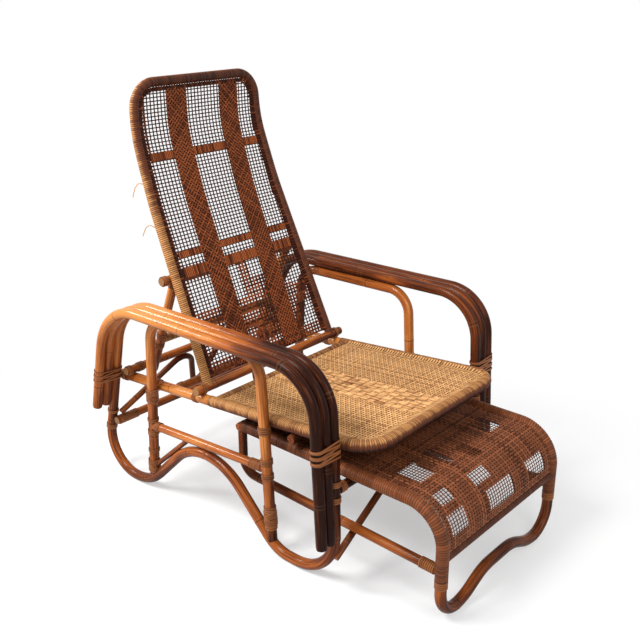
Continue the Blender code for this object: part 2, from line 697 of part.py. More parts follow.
def hinge_saddle(side, sign):
    """A cane saddle over the back's bottom bar, standing on the seat's side rail."""
    name = f"hinge_saddle_{side}"
    inner = HINGE_BAR / 2 + SADDLE_PLAY
    outer = inner + SADDLE_WALL
    foot = -HINGE_BAR / 2 - GAP / 2
    turns = 8
    outline = [(outer, foot)]
    outline += [(outer * cos(pi * k / turns), outer * sin(pi * k / turns)) for k in range(turns + 1)]
    outline += [(-outer, foot), (-inner, foot)]
    outline += [(-inner * cos(pi * k / turns), inner * sin(pi * k / turns)) for k in range(turns + 1)]
    outline += [(inner, foot)]
    curve = bpy.data.curves.new(name, "CURVE")
    curve.dimensions = "2D"
    curve.fill_mode = "BOTH"
    curve.extrude = SADDLE_WIDTH / 2
    spline = curve.splines.new("POLY")
    spline.use_cyclic_u = True
    spline.points.add(len(outline) - 1)
    for point, place in zip(spline.points, outline):
        point.co = (*place, 0, 1)
    obj = bpy.data.objects.new(name, curve)
    parts.objects.link(obj)
    obj.location = (sign * SEAT_X, HINGE_Y, HINGE_Z)
    upright = Matrix.Rotation(pi / 2, 3, "Z") @ Matrix.Rotation(pi / 2, 3, "X")
    obj.rotation_euler = (Matrix.Rotation(-atan(SEAT_SLOPE), 3, "X") @ upright).to_euler()
    finish(obj, STRAW, WOVEN_ROUGHNESS)


def footrest():
    """The pull-out footrest, on an empty that slides along Y."""
    slide = bpy.data.objects.new("footrest_slide_axis", None)
    slide.location = (0, FOOTREST_BAR_Y, FOOTREST_Z)
    parts.objects.link(slide)
    made = []
    bar_line = across(FOOTREST_BAR_Y, FOOTREST_Z, FOOTREST_BAR_HALF)
    made.append(pole("footrest_rear_bar", bar_line, FOOTREST_BAR, DARK))
    hem = pole("footrest_hem_bar", across(FOOTREST_FRONT_Y, FOOTREST_HEM_Z, FOOTREST_X),
               FOOTREST_HEM, CHESTNUT)
    made.append(hem)
    for side, sign in SIDES:
        x = sign * FOOTREST_X
        corners = [(x, FOOTREST_BAR_Y, FOOTREST_Z), (x, FOOTREST_FRONT_Y, FOOTREST_Z),
                   (x, FOOTREST_FRONT_Y, FOOTREST_JOINT_Z + GAP / 2)]
        rail_path = rounded(corners, [FOOTREST_BEND])
        rail = pole(f"footrest_side_rail_{side}", drawn_in(rail_path, end=0), FOOTREST_RAIL, CHESTNUT,
                    WOVEN_ROUGHNESS)
        cope(rail, bar_line, FOOTREST_BAR)
        cope(hem, rail_path, FOOTREST_RAIL)
        corners = [(x, FOOTREST_BAR_Y, FOOTREST_Z), (x, FOOTREST_BAR_Y, FOOTREST_LOWER_Z),
                   (x, FOOTREST_FRONT_Y, FOOTREST_LOWER_FRONT_Z)]
        lower_path = drawn_in(rounded(corners, [FOOTREST_LOWER_BEND]))
        lower = pole(f"footrest_lower_rail_{side}", lower_path, CROSS_POLE, CHESTNUT)
        cope(lower, bar_line, FOOTREST_BAR)
        cope(lower, rail_path, FOOTREST_RAIL)
        made += [rail, lower]
    half = [(FOOTREST_X, FOOTREST_JOINT_Z - GAP / 2), (FOOTREST_X, FOOT_Z), (LOOP_FLAT_X, FOOT_Z),
            (LOOP_HUMP_X, LOOP_HUMP_Z)]
    line = [(-x, FOOTREST_FRONT_Y, z) for x, z in half] + [(x, FOOTREST_FRONT_Y, z) for x, z in half[::-1]]
    bends = [LOOP_CORNER_BEND, LOOP_SWEEP, LOOP_SWEEP]
    loop = pole("footrest_front_loop", rounded(line, bends + bends[::-1]), POLE, CHESTNUT)
    wear_flat(loop)
    made.append(loop)
    rise = SEAT_SHEET_RISE
    corner = (0, FOOTREST_FRONT_Y - rise, FOOTREST_Z + rise)
    rear_end = (0, FOOTREST_BAR_Y - FOOTREST_BAR / 2 - SHEET, FOOTREST_Z + rise)
    hem_top = (0, FOOTREST_FRONT_Y - rise, FOOTREST_HEM_Z + FOOTREST_HEM / 2 + GAP)
    profile = rounded([rear_end, corner, hem_top], [FOOTREST_BEND + rise])
    inner_half = FOOTREST_X - FOOTREST_RAIL / 2 - GAP
    columns = net_columns(FOOTREST_MIDDLE_HALF, FOOTREST_OPENING_STOPS, (2, 4, 2))
    rows = [(inner_half, p.y, p.z) for p in profile]
    made.append(sheet_grid("footrest_weave", rows, WEAVE_BROWN, columns, FOOTREST_NET))
    for obj in made:
        hang_on(obj, slide)


def centre_lengthwise():
    """Move the whole chair so that its front and rear reach are equally far from the origin."""
    bend_centre = rear_line(FOOT_Z) - REAR_CORNER_BEND * tan(pi / 4 + REAR_LEAN / 2)
    rear_reach = bend_centre + REAR_CORNER_BEND + POLE / 2
    front_reach = FOOTREST_FRONT_Y - FOOTREST_RAIL / 2
    for obj in list(parts.objects) + list(cutters.objects):
        if obj.parent is None:
            obj.location.y -= (rear_reach + front_reach) / 2


clear_scene()
parts = new_collection("rattan_chaise_longue")
cutters = new_collection("cutters")
cutters.hide_render = True
frame_loops = {sign: side_frame(side, sign) for side, sign in SIDES}
cross_bars(frame_loops)
seat()
stay(back())
for side_name, side_sign in SIDES:
    hinge_saddle(side_name, side_sign)
footrest()
centre_lengthwise()
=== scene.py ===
from math import atan, cos, pi, radians, sin, sqrt, tan

import bpy
import numpy as np
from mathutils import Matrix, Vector


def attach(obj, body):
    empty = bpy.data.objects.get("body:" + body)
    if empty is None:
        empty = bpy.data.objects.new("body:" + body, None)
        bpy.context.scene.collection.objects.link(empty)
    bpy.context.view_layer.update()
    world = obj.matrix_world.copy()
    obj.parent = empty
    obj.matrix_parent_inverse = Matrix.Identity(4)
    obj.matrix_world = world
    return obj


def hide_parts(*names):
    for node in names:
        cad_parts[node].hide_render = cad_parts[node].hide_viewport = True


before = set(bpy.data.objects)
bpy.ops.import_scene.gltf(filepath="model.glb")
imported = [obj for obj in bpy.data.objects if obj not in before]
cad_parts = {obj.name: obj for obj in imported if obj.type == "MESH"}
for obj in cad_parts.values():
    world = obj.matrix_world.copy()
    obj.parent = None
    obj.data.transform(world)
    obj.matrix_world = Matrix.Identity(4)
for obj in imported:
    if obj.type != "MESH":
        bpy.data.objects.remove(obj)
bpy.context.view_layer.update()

# Arms
# Each arm is three rattan poles, steamed, bent side by side and bound together. The inner pole
# carries on into the foot loops. The outer two strands are sawn off above the floor.

# The lengths along Y are drawn from the front foot, and each piece is moved back by this much.
CENTRED = 0.21964862618014042

POLE = 0.028
GAP = 0.0003
STRAND_PITCH = POLE + GAP
SIDE_X = 0.296
ARM_FRONT = (-0.056, 0.561)
ARM_REAR = (0.680, 0.548)
ARM_BENDS = (0.118, 0.165)
FRONT_LEAN = radians(3.5)
REAR_LEAN = radians(13)
STRAND_CUTS = (0.135, 0.225)
FRONT_BINDING_Z = 0.368
REAR_BINDING_Z = 0.325
SIDES = (("left", 1), ("right", -1))


def rounded(corners, bends, step=radians(4)):
    """Points of a line through the corners, with each inner corner bent to its radius."""
    points = [Vector(corners[0])]
    for i, bend in enumerate(bends, start=1):
        here = Vector(corners[i])
        back = (Vector(corners[i - 1]) - here).normalized()
        on = (Vector(corners[i + 1]) - here).normalized()
        opening = back.angle(on)
        centre = here + (back + on).normalized() * bend / sin(opening / 2)
        start = here + back * bend / tan(opening / 2) - centre
        end = here + on * bend / tan(opening / 2) - centre
        turn = pi - opening
        steps = max(3, round(turn / step))
        for k in range(steps + 1):
            share = k / steps
            arm = (start * sin((1 - share) * turn) + end * sin(share * turn)) / sin(turn)
            points.append(centre + arm)
    points.append(Vector(corners[-1]))
    return points


def front_line(z):
    return ARM_FRONT[0] - (ARM_FRONT[1] - z) * tan(FRONT_LEAN)


def rear_line(z):
    return ARM_REAR[0] + (ARM_REAR[1] - z) * tan(REAR_LEAN)


def arm_z(y):
    rise = (ARM_REAR[1] - ARM_FRONT[1]) / (ARM_REAR[0] - ARM_FRONT[0])
    return ARM_FRONT[1] + rise * (y - ARM_FRONT[0])


def arm_path(x, front_z, rear_z):
    corners = [(x, front_line(front_z), front_z), (x, *ARM_FRONT), (x, *ARM_REAR),
               (x, rear_line(rear_z), rear_z)]
    return rounded(corners, ARM_BENDS)


class Signal:
    """A node socket that reads as a number or a colour in an expression."""

    def __init__(self, tree, socket):
        self.tree = tree
        self.socket = socket

    def node(self, kind, settings=None, out=0, **inputs):
        """Any node. Its sockets go by name, or by number as i0, i1 and so on."""
        made = self.tree.nodes.new(kind)
        for name, value in (settings or {}).items():
            setattr(made, name, value)
        for name, value in inputs.items():
            key = int(name[1:]) if name[0] == "i" and name[1:].isdigit() else name.replace("_", " ")
            if isinstance(value, Signal):
                self.tree.links.new(value.socket, made.inputs[key])
            else:
                made.inputs[key].default_value = value
        return Signal(self.tree, made.outputs[out])

    def maths(self, operation, *values):
        named = {f"i{k}": value for k, value in enumerate(values)}
        return self.node("ShaderNodeMath", {"operation": operation}, **named)

    def __add__(self, other):
        return self.maths("ADD", self, other)

    def __sub__(self, other):
        return self.maths("SUBTRACT", self, other)

    def __rsub__(self, other):
        return self.maths("SUBTRACT", other, self)

    def __mul__(self, other):
        return self.maths("MULTIPLY", self, other)

    __radd__ = __add__
    __rmul__ = __mul__

    def between(self, low, high):
        """0 below low, 1 above high, smooth in between."""
        settings = {"interpolation_type": "SMOOTHSTEP"}
        return self.node("ShaderNodeMapRange", settings, Value=self, From_Min=low, From_Max=high)

    def stretched(self, across, along):
        return self.node("ShaderNodeVectorMath", {"operation": "MULTIPLY"}, i0=self,
                         i1=(across, across, along))

    def noise(self, scale=1.0, detail=3.0, roughness=0.5):
        return self.node("ShaderNodeTexNoise", None, Vector=self, Scale=scale, Detail=detail,
                         Roughness=roughness)

    def mixed(self, low, high):
        """The colour low where the signal is 0, high where it is 1."""
        low = low if isinstance(low, Signal) else (*low, 1)
        high = high if isinstance(high, Signal) else (*high, 1)
        return self.node("ShaderNodeMix", {"data_type": "RGBA"}, out=2, i0=self, i6=low, i7=high)

    def parts(self):
        split = self.node("ShaderNodeSeparateXYZ", None, Vector=self).socket.node
        return [Signal(self.tree, socket) for socket in split.outputs]


def finish_of(name, coat, coat_roughness=0.12, specular=0.12):
    """A new material, its shader, and the two coordinates that every piece here carries: unbent is
    the place on the straightened strand or pole, and tone holds three values of the piece's own."""
    material = bpy.data.materials.new(name)
    material.use_nodes = True
    tree = material.node_tree
    shader = tree.nodes["Principled BSDF"]
    shader.inputs["Coat Weight"].default_value = coat
    shader.inputs["Coat Roughness"].default_value = coat_roughness
    shader.inputs["Specular IOR Level"].default_value = specular
    start = Signal(tree, None)
    unbent = start.node("ShaderNodeAttribute", {"attribute_name": "unbent"}, out=1)
    tone = start.node("ShaderNodeAttribute", {"attribute_name": "tone"}, out=1)
    return material, shader, unbent, tone


def plug(shader, **signals):
    for name, signal in signals.items():
        signal.tree.links.new(signal.socket, shader.inputs[name.replace("_", " ")])


def relief(height, strength, distance):
    return height.node("ShaderNodeBump", None, Height=height, Strength=strength, Distance=distance)


HONEY = (0.58, 0.212, 0.048)
AMBER = (0.33, 0.086, 0.016)
CHESTNUT = (0.115, 0.027, 0.008)
NIGHT = (0.020, 0.0055, 0.0030)
STRAW = (0.66, 0.43, 0.20)
END_GRAIN = ((0.09, 0.036, 0.015), (0.30, 0.150, 0.06))
VARNISH_COAT = (0.04, 0.28)


def varnished_rattan():
    """Pole skin: streaked along its fibres, a ring at each joint, smoky patches, glossy varnish."""
    material, shader, unbent, tone = finish_of("varnished_rattan", VARNISH_COAT[0], 0.12, 0.05)
    darkness, ring, sawn = tone.parts()
    streaks = unbent.stretched(260, 9).noise(1, 4, 0.6)
    patches = unbent.stretched(16, 5).noise(1, 3, 0.6)
    specks = unbent.stretched(420, 60).noise(1, 2, 0.5).between(0.66, 0.74)
    depth = darkness + (patches - 0.5) * 0.9 + (streaks - 0.5) * 1.1
    light = depth.between(0.0, 0.42).mixed(HONEY, AMBER)
    deep = depth.between(0.40, 0.72).mixed(light, CHESTNUT)
    skin = depth.between(0.70, 1.02).mixed(deep, NIGHT)
    scar = ring.between(0.55, 0.95) * (0.75 + 0.25 * streaks)
    pale_side = ring.between(0.10, 0.45) * (1 - ring.between(0.45, 0.60)) * 0.06
    marked = (scar * 0.6).mixed(pale_side.mixed(skin, STRAW), NIGHT)
    marked = (specks * 0.35).mixed(marked, CHESTNUT)
    pores = unbent.node("ShaderNodeTexVoronoi", None, Vector=unbent, Scale=900.0)
    end_grain = pores.between(0.15, 0.45).mixed(*END_GRAIN)
    plug(shader, Base_Color=sawn.between(0.4, 0.6).mixed(marked, end_grain))
    plug(shader, Roughness=0.26 + 0.16 * patches + 0.45 * sawn + 0.12 * scar)
    plug(shader, Coat_Weight=VARNISH_COAT[0] + VARNISH_COAT[1] * (1 - darkness.between(0.1, 1.0)))
    ridges = streaks * 0.5 + ring * -0.8 + unbent.stretched(60, 22).noise(1, 2, 0.5) * 0.6
    plug(shader, Normal=relief(ridges, 0.35, 0.0006))
    return material


RATTAN = varnished_rattan()
RING_SPACING = (0.24, 0.42)
RING_FROM_END = (0.04, 0.02)
RING_WIDTH = 0.0045
RING_SWELL = 0.022
END_BEVEL = 0.0022
END_NARROWED = 0.93
POLE_STEP = 0.006
POLE_SIDES = 20

# Painted shade: each pole's colour is darker on its side turned away from this direction, up towards the near
# side, where the lamps light it.
LIT_SIDE = (-0.50, 0.35, 0.79)
PAINTED_SHADE_AWAY = 0.30
SHADE_FROM_FACING = 0.35

# One generator draws every small difference between rings, turns and strands, in order.
chance = np.random.default_rng(19)


def evenly(path, spacing):
    """Points along the line at one spacing, with the length run and the direction at each."""
    line = np.array([tuple(p) for p in path], float)
    steps = np.linalg.norm(np.diff(line, axis=0), axis=1)
    line = np.vstack([line[:1], line[1:][steps > 1e-7]])
    run = np.concatenate([[0], np.cumsum(steps[steps > 1e-7])])
    places = np.linspace(0, run[-1], max(2, round(run[-1] / spacing) + 1))
    points = np.stack([np.interp(places, run, line[:, k]) for k in range(3)], axis=1)
    ways = np.gradient(points, axis=0)
    return points, places, ways / np.linalg.norm(ways, axis=1)[:, None]


def carried_frames(ways):
    """Two directions square to the line, carried along it without twisting."""
    lead = np.cross(ways[0], (0.0, 0.0, 1.0))
    if np.linalg.norm(lead) < 0.1:
        lead = np.cross(ways[0], (1.0, 0.0, 0.0))
    firsts = []
    for way in ways:
        lead = lead - way * (lead @ way)
        lead = lead / np.linalg.norm(lead)
        firsts.append(lead)
    firsts = np.array(firsts)
    return firsts, np.cross(ways, firsts)


def new_piece(name, places, faces, unbent, tones, material, smooth=True):
    mesh = bpy.data.meshes.new(name)
    places = np.asarray(places, float)
    shifted = places - np.array((0.0, CENTRED, 0.0))
    mesh.from_pydata(shifted.tolist(), [], faces)
    for label, values in (("unbent", unbent), ("tone", tones)):
        layer = mesh.attributes.new(label, "FLOAT_VECTOR", "POINT")
        layer.data.foreach_set("vector", np.asarray(values, np.float32).ravel())
    mesh.materials.append(material)
    if smooth:
        mesh.shade_smooth()
    mesh.update()
    made = bpy.data.objects.new(name, mesh)
    bpy.context.scene.collection.objects.link(made)
    return made


def skin(rows, sides, closed=False):
    """Four-sided faces between rows of vertices, left open or closed into a hoop."""
    faces = []
    for i in range(rows if closed else rows - 1):
        a, b = i * sides, (i + 1) % rows * sides
        faces += [(a + k, a + (k + 1) % sides, b + (k + 1) % sides, b + k) for k in range(sides)]
    return faces


def tube(points, places, ways, radii, sides, slide=None):
    """Rings of vertices round a line, and the faces between them with the ends capped. slide moves
    one side of each ring ahead along the line and the other side back."""
    firsts, seconds = carried_frames(ways)
    angle = np.arange(sides) * 2 * pi / sides
    reach = np.asarray(radii)[:, None]
    outward = (firsts[:, None] * np.cos(angle)[None, :, None]
               + seconds[:, None] * np.sin(angle)[None, :, None])
    verts = points[:, None] + outward * reach[..., None]
    if slide is not None:
        verts = verts + ways[:, None] * (slide * np.cos(angle))[None, :, None]
    count = len(points)
    last = (count - 1) * sides
    faces = skin(count, sides) + [tuple(range(sides))[::-1], tuple(range(last, last + sides))]
    flat = np.stack([np.broadcast_to(np.cos(angle), (count, sides)) * reach,
                     np.broadcast_to(np.sin(angle), (count, sides)) * reach,
                     np.broadcast_to(places[:, None], (count, sides))], axis=-1)
    return verts.reshape(-1, 3), faces, flat.reshape(-1, 3)


# Whether the first and last end of a pole show as sawn, or lie hidden under a tie or another pole
SAWN = (True, True)
SAWN_FOOT = (False, True)
HIDDEN = (False, False)


def rattan_pole(name, path, diameter, body, shades, replaced, sawn=SAWN):
    """A rattan pole with growth rings. shades are the darkness at even steps from end to end."""
    sides = POLE_SIDES
    points, places, ways = evenly(path, POLE_STEP)
    length = places[-1]
    ring = np.zeros(len(places))
    at = chance.uniform(RING_FROM_END[0], RING_SPACING[0])
    while at < length - RING_FROM_END[1]:
        ring = np.maximum(ring, np.exp(-((places - at) / RING_WIDTH) ** 2))
        at += chance.uniform(*RING_SPACING)
    radius = diameter / 2 * (1 - RING_SWELL + RING_SWELL * ring)
    from_end = np.minimum(places, length - places)
    radius = radius * np.where(from_end < END_BEVEL, END_NARROWED, 1.0)
    darkness = np.interp(places / length, np.linspace(0, 1, len(shades)), shades)
    verts, faces, flat = tube(points, places, ways, radius, sides)
    # Painted shade on the side of the pole turned away from the light, on top of its own tone.
    facing = (verts - np.repeat(points, sides, axis=0)) @ np.array(LIT_SIDE) / (diameter / 2)
    tone_and_painted_shade = np.repeat(darkness, sides) + PAINTED_SHADE_AWAY * np.clip(SHADE_FROM_FACING - facing, 0, 1)
    verts[:, 2] = np.maximum(verts[:, 2], 0.0)
    flat = flat + np.array((0.0, 0.0, chance.uniform(0, 9)))
    tones = np.stack([tone_and_painted_shade, np.repeat(ring, sides), np.zeros(len(verts))], axis=-1)
    verts, flat, tones, faces = list(verts), list(flat), list(tones), faces[:-2]
    for end, is_sawn in ((0, sawn[0]), (len(points) - 1, sawn[1])):
        first = len(verts)
        for k in range(end * sides, end * sides + sides):
            verts.append(verts[k])
            flat.append(flat[k])
            tones.append(np.array((darkness[end], 0.0, float(is_sawn))))
        cap = tuple(range(first, first + sides))
        faces.append(cap if end else cap[::-1])
    made = new_piece(name, verts, faces, flat, tones, RATTAN)
    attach(made, body)
    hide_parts(*replaced)


ARM_SHADES = {
    "right": (0.98, 1.05, 1.02, 0.95, 0.48, 0.14, 0.04, 0.06, 0.28, 0.55),
    "left": (0.78, 0.80, 0.76, 0.72, 0.66, 0.74, 0.78, 0.68, 0.55, 0.60)}
for side, sign in SIDES:
    shades = ARM_SHADES[side]
    inner = arm_path(sign * SIDE_X, FRONT_BINDING_Z, REAR_BINDING_Z)
    rattan_pole(f"arm_inner_pole_{side}", inner, POLE, "frame", shades[1:-1], [f"arm_pole_{side}"], HIDDEN)
    for order, name in ((1, "middle"), (2, "outer")):
        line = arm_path(sign * (SIDE_X + order * STRAND_PITCH), *STRAND_CUTS)
        rattan_pole(f"arm_cane_{name}_{side}", line, POLE, "frame", shades,
                    [f"arm_strand_{name}_{side}"])

# Foot loops, hoops and side rails
# The inner pole of each arm meets a bent loop that makes the front foot, rises to a hump and
# comes down to the rear foot. A hoop stands on it under the arm, with a rail and a short brace.

FOOT_Z = 0.013
REAR_FOOT_Y = 0.610
FRONT_FOOT_Y = 0.115
FRONT_LOOP_LEAN = radians(1.3)
LEAN_FROM_Z = FRONT_BINDING_Z - 0.022
HOOP_FRONT_Y = 0.164
HOOP_REAR_Y = 0.562
HOOP_REAR_LEAN = radians(3.1)
HOOP_BEND = 0.066
LOWER_RAIL_FRONT_Z = 0.234
LOWER_RAIL_REAR_Z = 0.204
CROSS_POLE = 0.024


def loop_front_line(z):
    return front_line(LEAN_FROM_Z) - (LEAN_FROM_Z - z) * tan(FRONT_LOOP_LEAN)


def hoop_front_line(z):
    return HOOP_FRONT_Y - (ARM_FRONT[1] - z) * tan(FRONT_LEAN)


def hoop_rear_line(z):
    return HOOP_REAR_Y + (ARM_REAR[1] - z) * tan(HOOP_REAR_LEAN)


def lower_rail_z(y):
    front = hoop_front_line(LOWER_RAIL_FRONT_Z)
    rear = hoop_rear_line(LOWER_RAIL_REAR_Z)
    return LOWER_RAIL_FRONT_Z + (LOWER_RAIL_REAR_Z - LOWER_RAIL_FRONT_Z) * (y - front) / (rear - front)


LOOP_BENDS = (0.100, 0.150, 0.100, 0.125)
SHORT_BRACE = 0.014
SHORT_BRACE_FOOT_Z = 0.072
SHORT_BRACE_TOP_Y = 0.430
HUMP_Y = (REAR_FOOT_Y + FRONT_FOOT_Y) / 2
HUMP_CORNER_Z = FOOT_Z + (REAR_FOOT_Y - FRONT_FOOT_Y) / 2
HUMP_TOP_Z = lower_rail_z(HUMP_Y) - POLE - 3 * GAP
HUMP_BEND = (HUMP_CORNER_Z - HUMP_TOP_Z) / (sqrt(2) - 1)


def loop_path(x):
    corners = [(x, rear_line(REAR_BINDING_Z), REAR_BINDING_Z), (x, rear_line(FOOT_Z), FOOT_Z),
               (x, REAR_FOOT_Y, FOOT_Z), (x, HUMP_Y, HUMP_CORNER_Z), (x, FRONT_FOOT_Y, FOOT_Z),
               (x, loop_front_line(FOOT_Z), FOOT_Z), (x, loop_front_line(LEAN_FROM_Z), LEAN_FROM_Z)]
    line = rounded(corners, (*LOOP_BENDS[:2], HUMP_BEND, *LOOP_BENDS[2:]))
    return line + [Vector((x, front_line(FRONT_BINDING_Z), FRONT_BINDING_Z))]


def height_on(path, y):
    for a, b in zip(path, path[1:]):
        if min(a.y, b.y) <= y <= max(a.y, b.y) and a.y != b.y:
            return a.z + (b.z - a.z) * (y - a.y) / (b.y - a.y)


REAR_LOOP_SHADES = {"right": (0.45, 0.55, 0.68, 0.72, 0.62, 0.50), "left": (0.70, 0.75, 0.80, 0.80)}
FRONT_LOOP_SHADES = {"right": (0.50, 0.40, 0.55, 0.70, 0.75, 0.90), "left": (0.75, 0.70, 0.60, 0.85)}
HOOP_SHADES = {"right": (0.60, 0.45, 0.28, 0.20, 0.40, 0.50, 0.25, 0.20, 0.45, 0.70),
               "left": (0.6, 0.5, 0.6, 0.45, 0.15, 0.2, 0.7)}
for side, sign in SIDES:
    x = sign * SIDE_X
    loop = loop_path(x)
    rear = [p for p in loop if p.y > HUMP_Y + POLE / 2] + [Vector((x, HUMP_Y + GAP, HUMP_TOP_Z))]
    front = [Vector((x, HUMP_Y - GAP, HUMP_TOP_Z))] + [p for p in loop if p.y < HUMP_Y - POLE / 2]
    rattan_pole(f"rear_foot_loop_{side}", rear, POLE, "frame", REAR_LOOP_SHADES[side],
                [f"foot_loop_rear_{side}"], HIDDEN)
    rattan_pole(f"front_foot_loop_{side}", front, POLE, "frame", FRONT_LOOP_SHADES[side],
                [f"foot_loop_front_{side}"], HIDDEN)
    rear_y = hoop_rear_line(FOOT_Z)
    front_y = hoop_front_line(FOOT_Z)
    rear_z = height_on([p for p in rear if p.y < rear_line(FOOT_Z) - 0.1], rear_y)
    front_z = height_on([p for p in front if p.z < 0.1], front_y)
    rear_top = arm_z(HOOP_REAR_Y) - POLE - GAP
    front_top = arm_z(HOOP_FRONT_Y) - POLE - GAP
    corners = [(x, hoop_rear_line(z), z) for z in (rear_z, rear_top)]
    corners += [(x, hoop_front_line(z), z) for z in (front_top, front_z)]
    rattan_pole(f"side_hoop_{side}", rounded(corners, (HOOP_BEND, HOOP_BEND)), POLE, "frame",
                HOOP_SHADES[side], [f"inner_hoop_{side}"], HIDDEN)
    rail_ends = [Vector((x, hoop_rear_line(LOWER_RAIL_REAR_Z), LOWER_RAIL_REAR_Z)),
                 Vector((x, hoop_front_line(LOWER_RAIL_FRONT_Z), LOWER_RAIL_FRONT_Z))]
    rattan_pole(f"lower_rail_{side}", rail_ends, CROSS_POLE, "frame", (0.30, 0.25, 0.35, 0.6),
                [f"lower_side_rail_{side}"], HIDDEN)
    brace = [Vector((x, hoop_rear_line(SHORT_BRACE_FOOT_Z), SHORT_BRACE_FOOT_Z)),
             Vector((x, SHORT_BRACE_TOP_Y, lower_rail_z(SHORT_BRACE_TOP_Y)))]
    rattan_pole(f"short_brace_{side}", brace, SHORT_BRACE, "frame", (0.7, 0.6),
                [f"side_brace_{side}"], HIDDEN)

# Seat side rails and cross bars
# Straight poles join the two side frames: two at the rear, one under the back of the seat, one
# over the footrest's rails and one under the seat's front. Thinner arched braces stiffen them.

SEAT_X = 0.264
SEAT_FRONT_Y = -0.150
SEAT_REAR_Y = 0.375
SEAT_LEVEL = 0.363
SEAT_FALL = 0.085
UPPER_BAR_Y = 0.690
LOWER_BAR_Z = 0.165
BRACE_POLE = 0.018
FOOTREST_Z = 0.286
CANE_WRAP = 0.001
RIM = POLE + 2 * CANE_WRAP
FOOTREST_RAIL = POLE + 3 * CANE_WRAP


def seat_z(y):
    return SEAT_LEVEL - SEAT_FALL * y


def across(y, z, half):
    return [Vector((-half, y, z)), Vector((half, y, z))]


UPPER_BAR_Z = seat_z(UPPER_BAR_Y) + (POLE + CROSS_POLE) / 2 + 3 * GAP
LOWER_BAR_Y = rear_line(LOWER_BAR_Z) - (POLE + CROSS_POLE) / 2 / cos(REAR_LEAN) - 2 * GAP
FRONT_BAR_Z = FOOTREST_Z - (FOOTREST_RAIL + CROSS_POLE) / 2 - GAP
FRONT_BAR_Y = loop_front_line(FRONT_BAR_Z)

SEAT_RAIL_REAR_Y = 0.750
GUIDE_BAR_Y = 0.082
GUIDE_BAR_Z = seat_z(GUIDE_BAR_Y) - (RIM + CROSS_POLE) / 2 - 3 * GAP
SEAT_BACK_BAR_Y = 0.520
for side, sign in SIDES:
    line = [Vector((sign * SEAT_X, y, seat_z(y))) for y in (SEAT_REAR_Y + GAP, SEAT_RAIL_REAR_Y)]
    rattan_pole(f"seat_rail_{side}", line, POLE, "frame", (0.10, 0.12, 0.15, 0.7),
                [f"seat_side_rail_{side}"])

for name, y, z, half, shades, node, ends in (
        ("upper_cross_bar", UPPER_BAR_Y, UPPER_BAR_Z, 0.294, (0.35, 0.5, 0.6), "rear_upper_bar", SAWN),
        ("lower_cross_bar", LOWER_BAR_Y, LOWER_BAR_Z, 0.302, (0.4, 0.45, 0.6), "rear_lower_bar", SAWN),
        ("guide_cross_bar", GUIDE_BAR_Y, GUIDE_BAR_Z, 0.277, (0.7, 0.8, 0.7), "footrest_guide_bar", HIDDEN),
        ("cross_bar_behind_seat", SEAT_BACK_BAR_Y, seat_z(SEAT_BACK_BAR_Y), SEAT_X, (0.3, 0.5, 0.6),
         "rear_seat_bar", HIDDEN),
        ("front_cross_bar", FRONT_BAR_Y, FRONT_BAR_Z, SIDE_X, (0.85, 0.75, 0.8), "front_bar", HIDDEN)):
    rattan_pole(name, across(y, z, half), CROSS_POLE, "frame", shades, [node], ends)

ARCH_FOOT_Z = 0.076
ARCH_BEND = 0.120
peak = FRONT_BAR_Z - (CROSS_POLE + BRACE_POLE) / 2 - GAP
half_turn = atan((peak - ARCH_FOOT_Z) / SIDE_X)
arch_foot_y = loop_front_line(ARCH_FOOT_Z)
arch_corner = (0, FRONT_BAR_Y, peak + ARCH_BEND * (1 / cos(half_turn) - 1))
arch = rounded([(-SIDE_X, arch_foot_y, ARCH_FOOT_Z), arch_corner, (SIDE_X, arch_foot_y, ARCH_FOOT_Z)],
               (ARCH_BEND,))
rattan_pole("front_arched_brace", arch, BRACE_POLE, "frame", (0.6, 0.7, 0.8, 0.7), ["front_arch"], HIDDEN)

BRACE_HALF = 0.286
HUMP_X = 0.068
HUMP_RISE = 0.02976
BRACE_BENDS = (0.048, 0.020, 0.048)
low = LOWER_BAR_Z + (CROSS_POLE + BRACE_POLE) / 2 + GAP
high = UPPER_BAR_Z - (CROSS_POLE + BRACE_POLE) / 2 - 3 * GAP
top = high + HUMP_RISE
steep = atan((top - low) / HUMP_X)
valley = low - BRACE_BENDS[1] * (1 / cos(steep) - 1)
humps = [(-BRACE_HALF, low), (-HUMP_X, top), (0, valley), (HUMP_X, top), (BRACE_HALF, low)]
leaning = [(x, LOWER_BAR_Y + (UPPER_BAR_Y - LOWER_BAR_Y) * (z - low) / (high - low), z) for x, z in humps]
rattan_pole("double_humped_brace", rounded(leaning, BRACE_BENDS), BRACE_POLE, "frame",
            (0.45, 0.6, 0.7, 0.6, 0.45), ["rear_arch_brace"], HIDDEN)

# Wrapped rims and rails
# The rims of the seat and back, the bar behind the seat, the stay's crossbar and the footrest's
# rails are poles wound from end to end with split cane, each turn lying against the last.

WINDING_PITCH = 0.0046
SEAM_DEPTH = 0.0013
SEAM_SLANT = 0.25
# Painted shade in the grooves between turns of cane.
SEAM_SHADE_BROWN = (0.05, 0.018, 0.008)
PLACES_PER_TURN = 5
WINDING_SIDES = 16


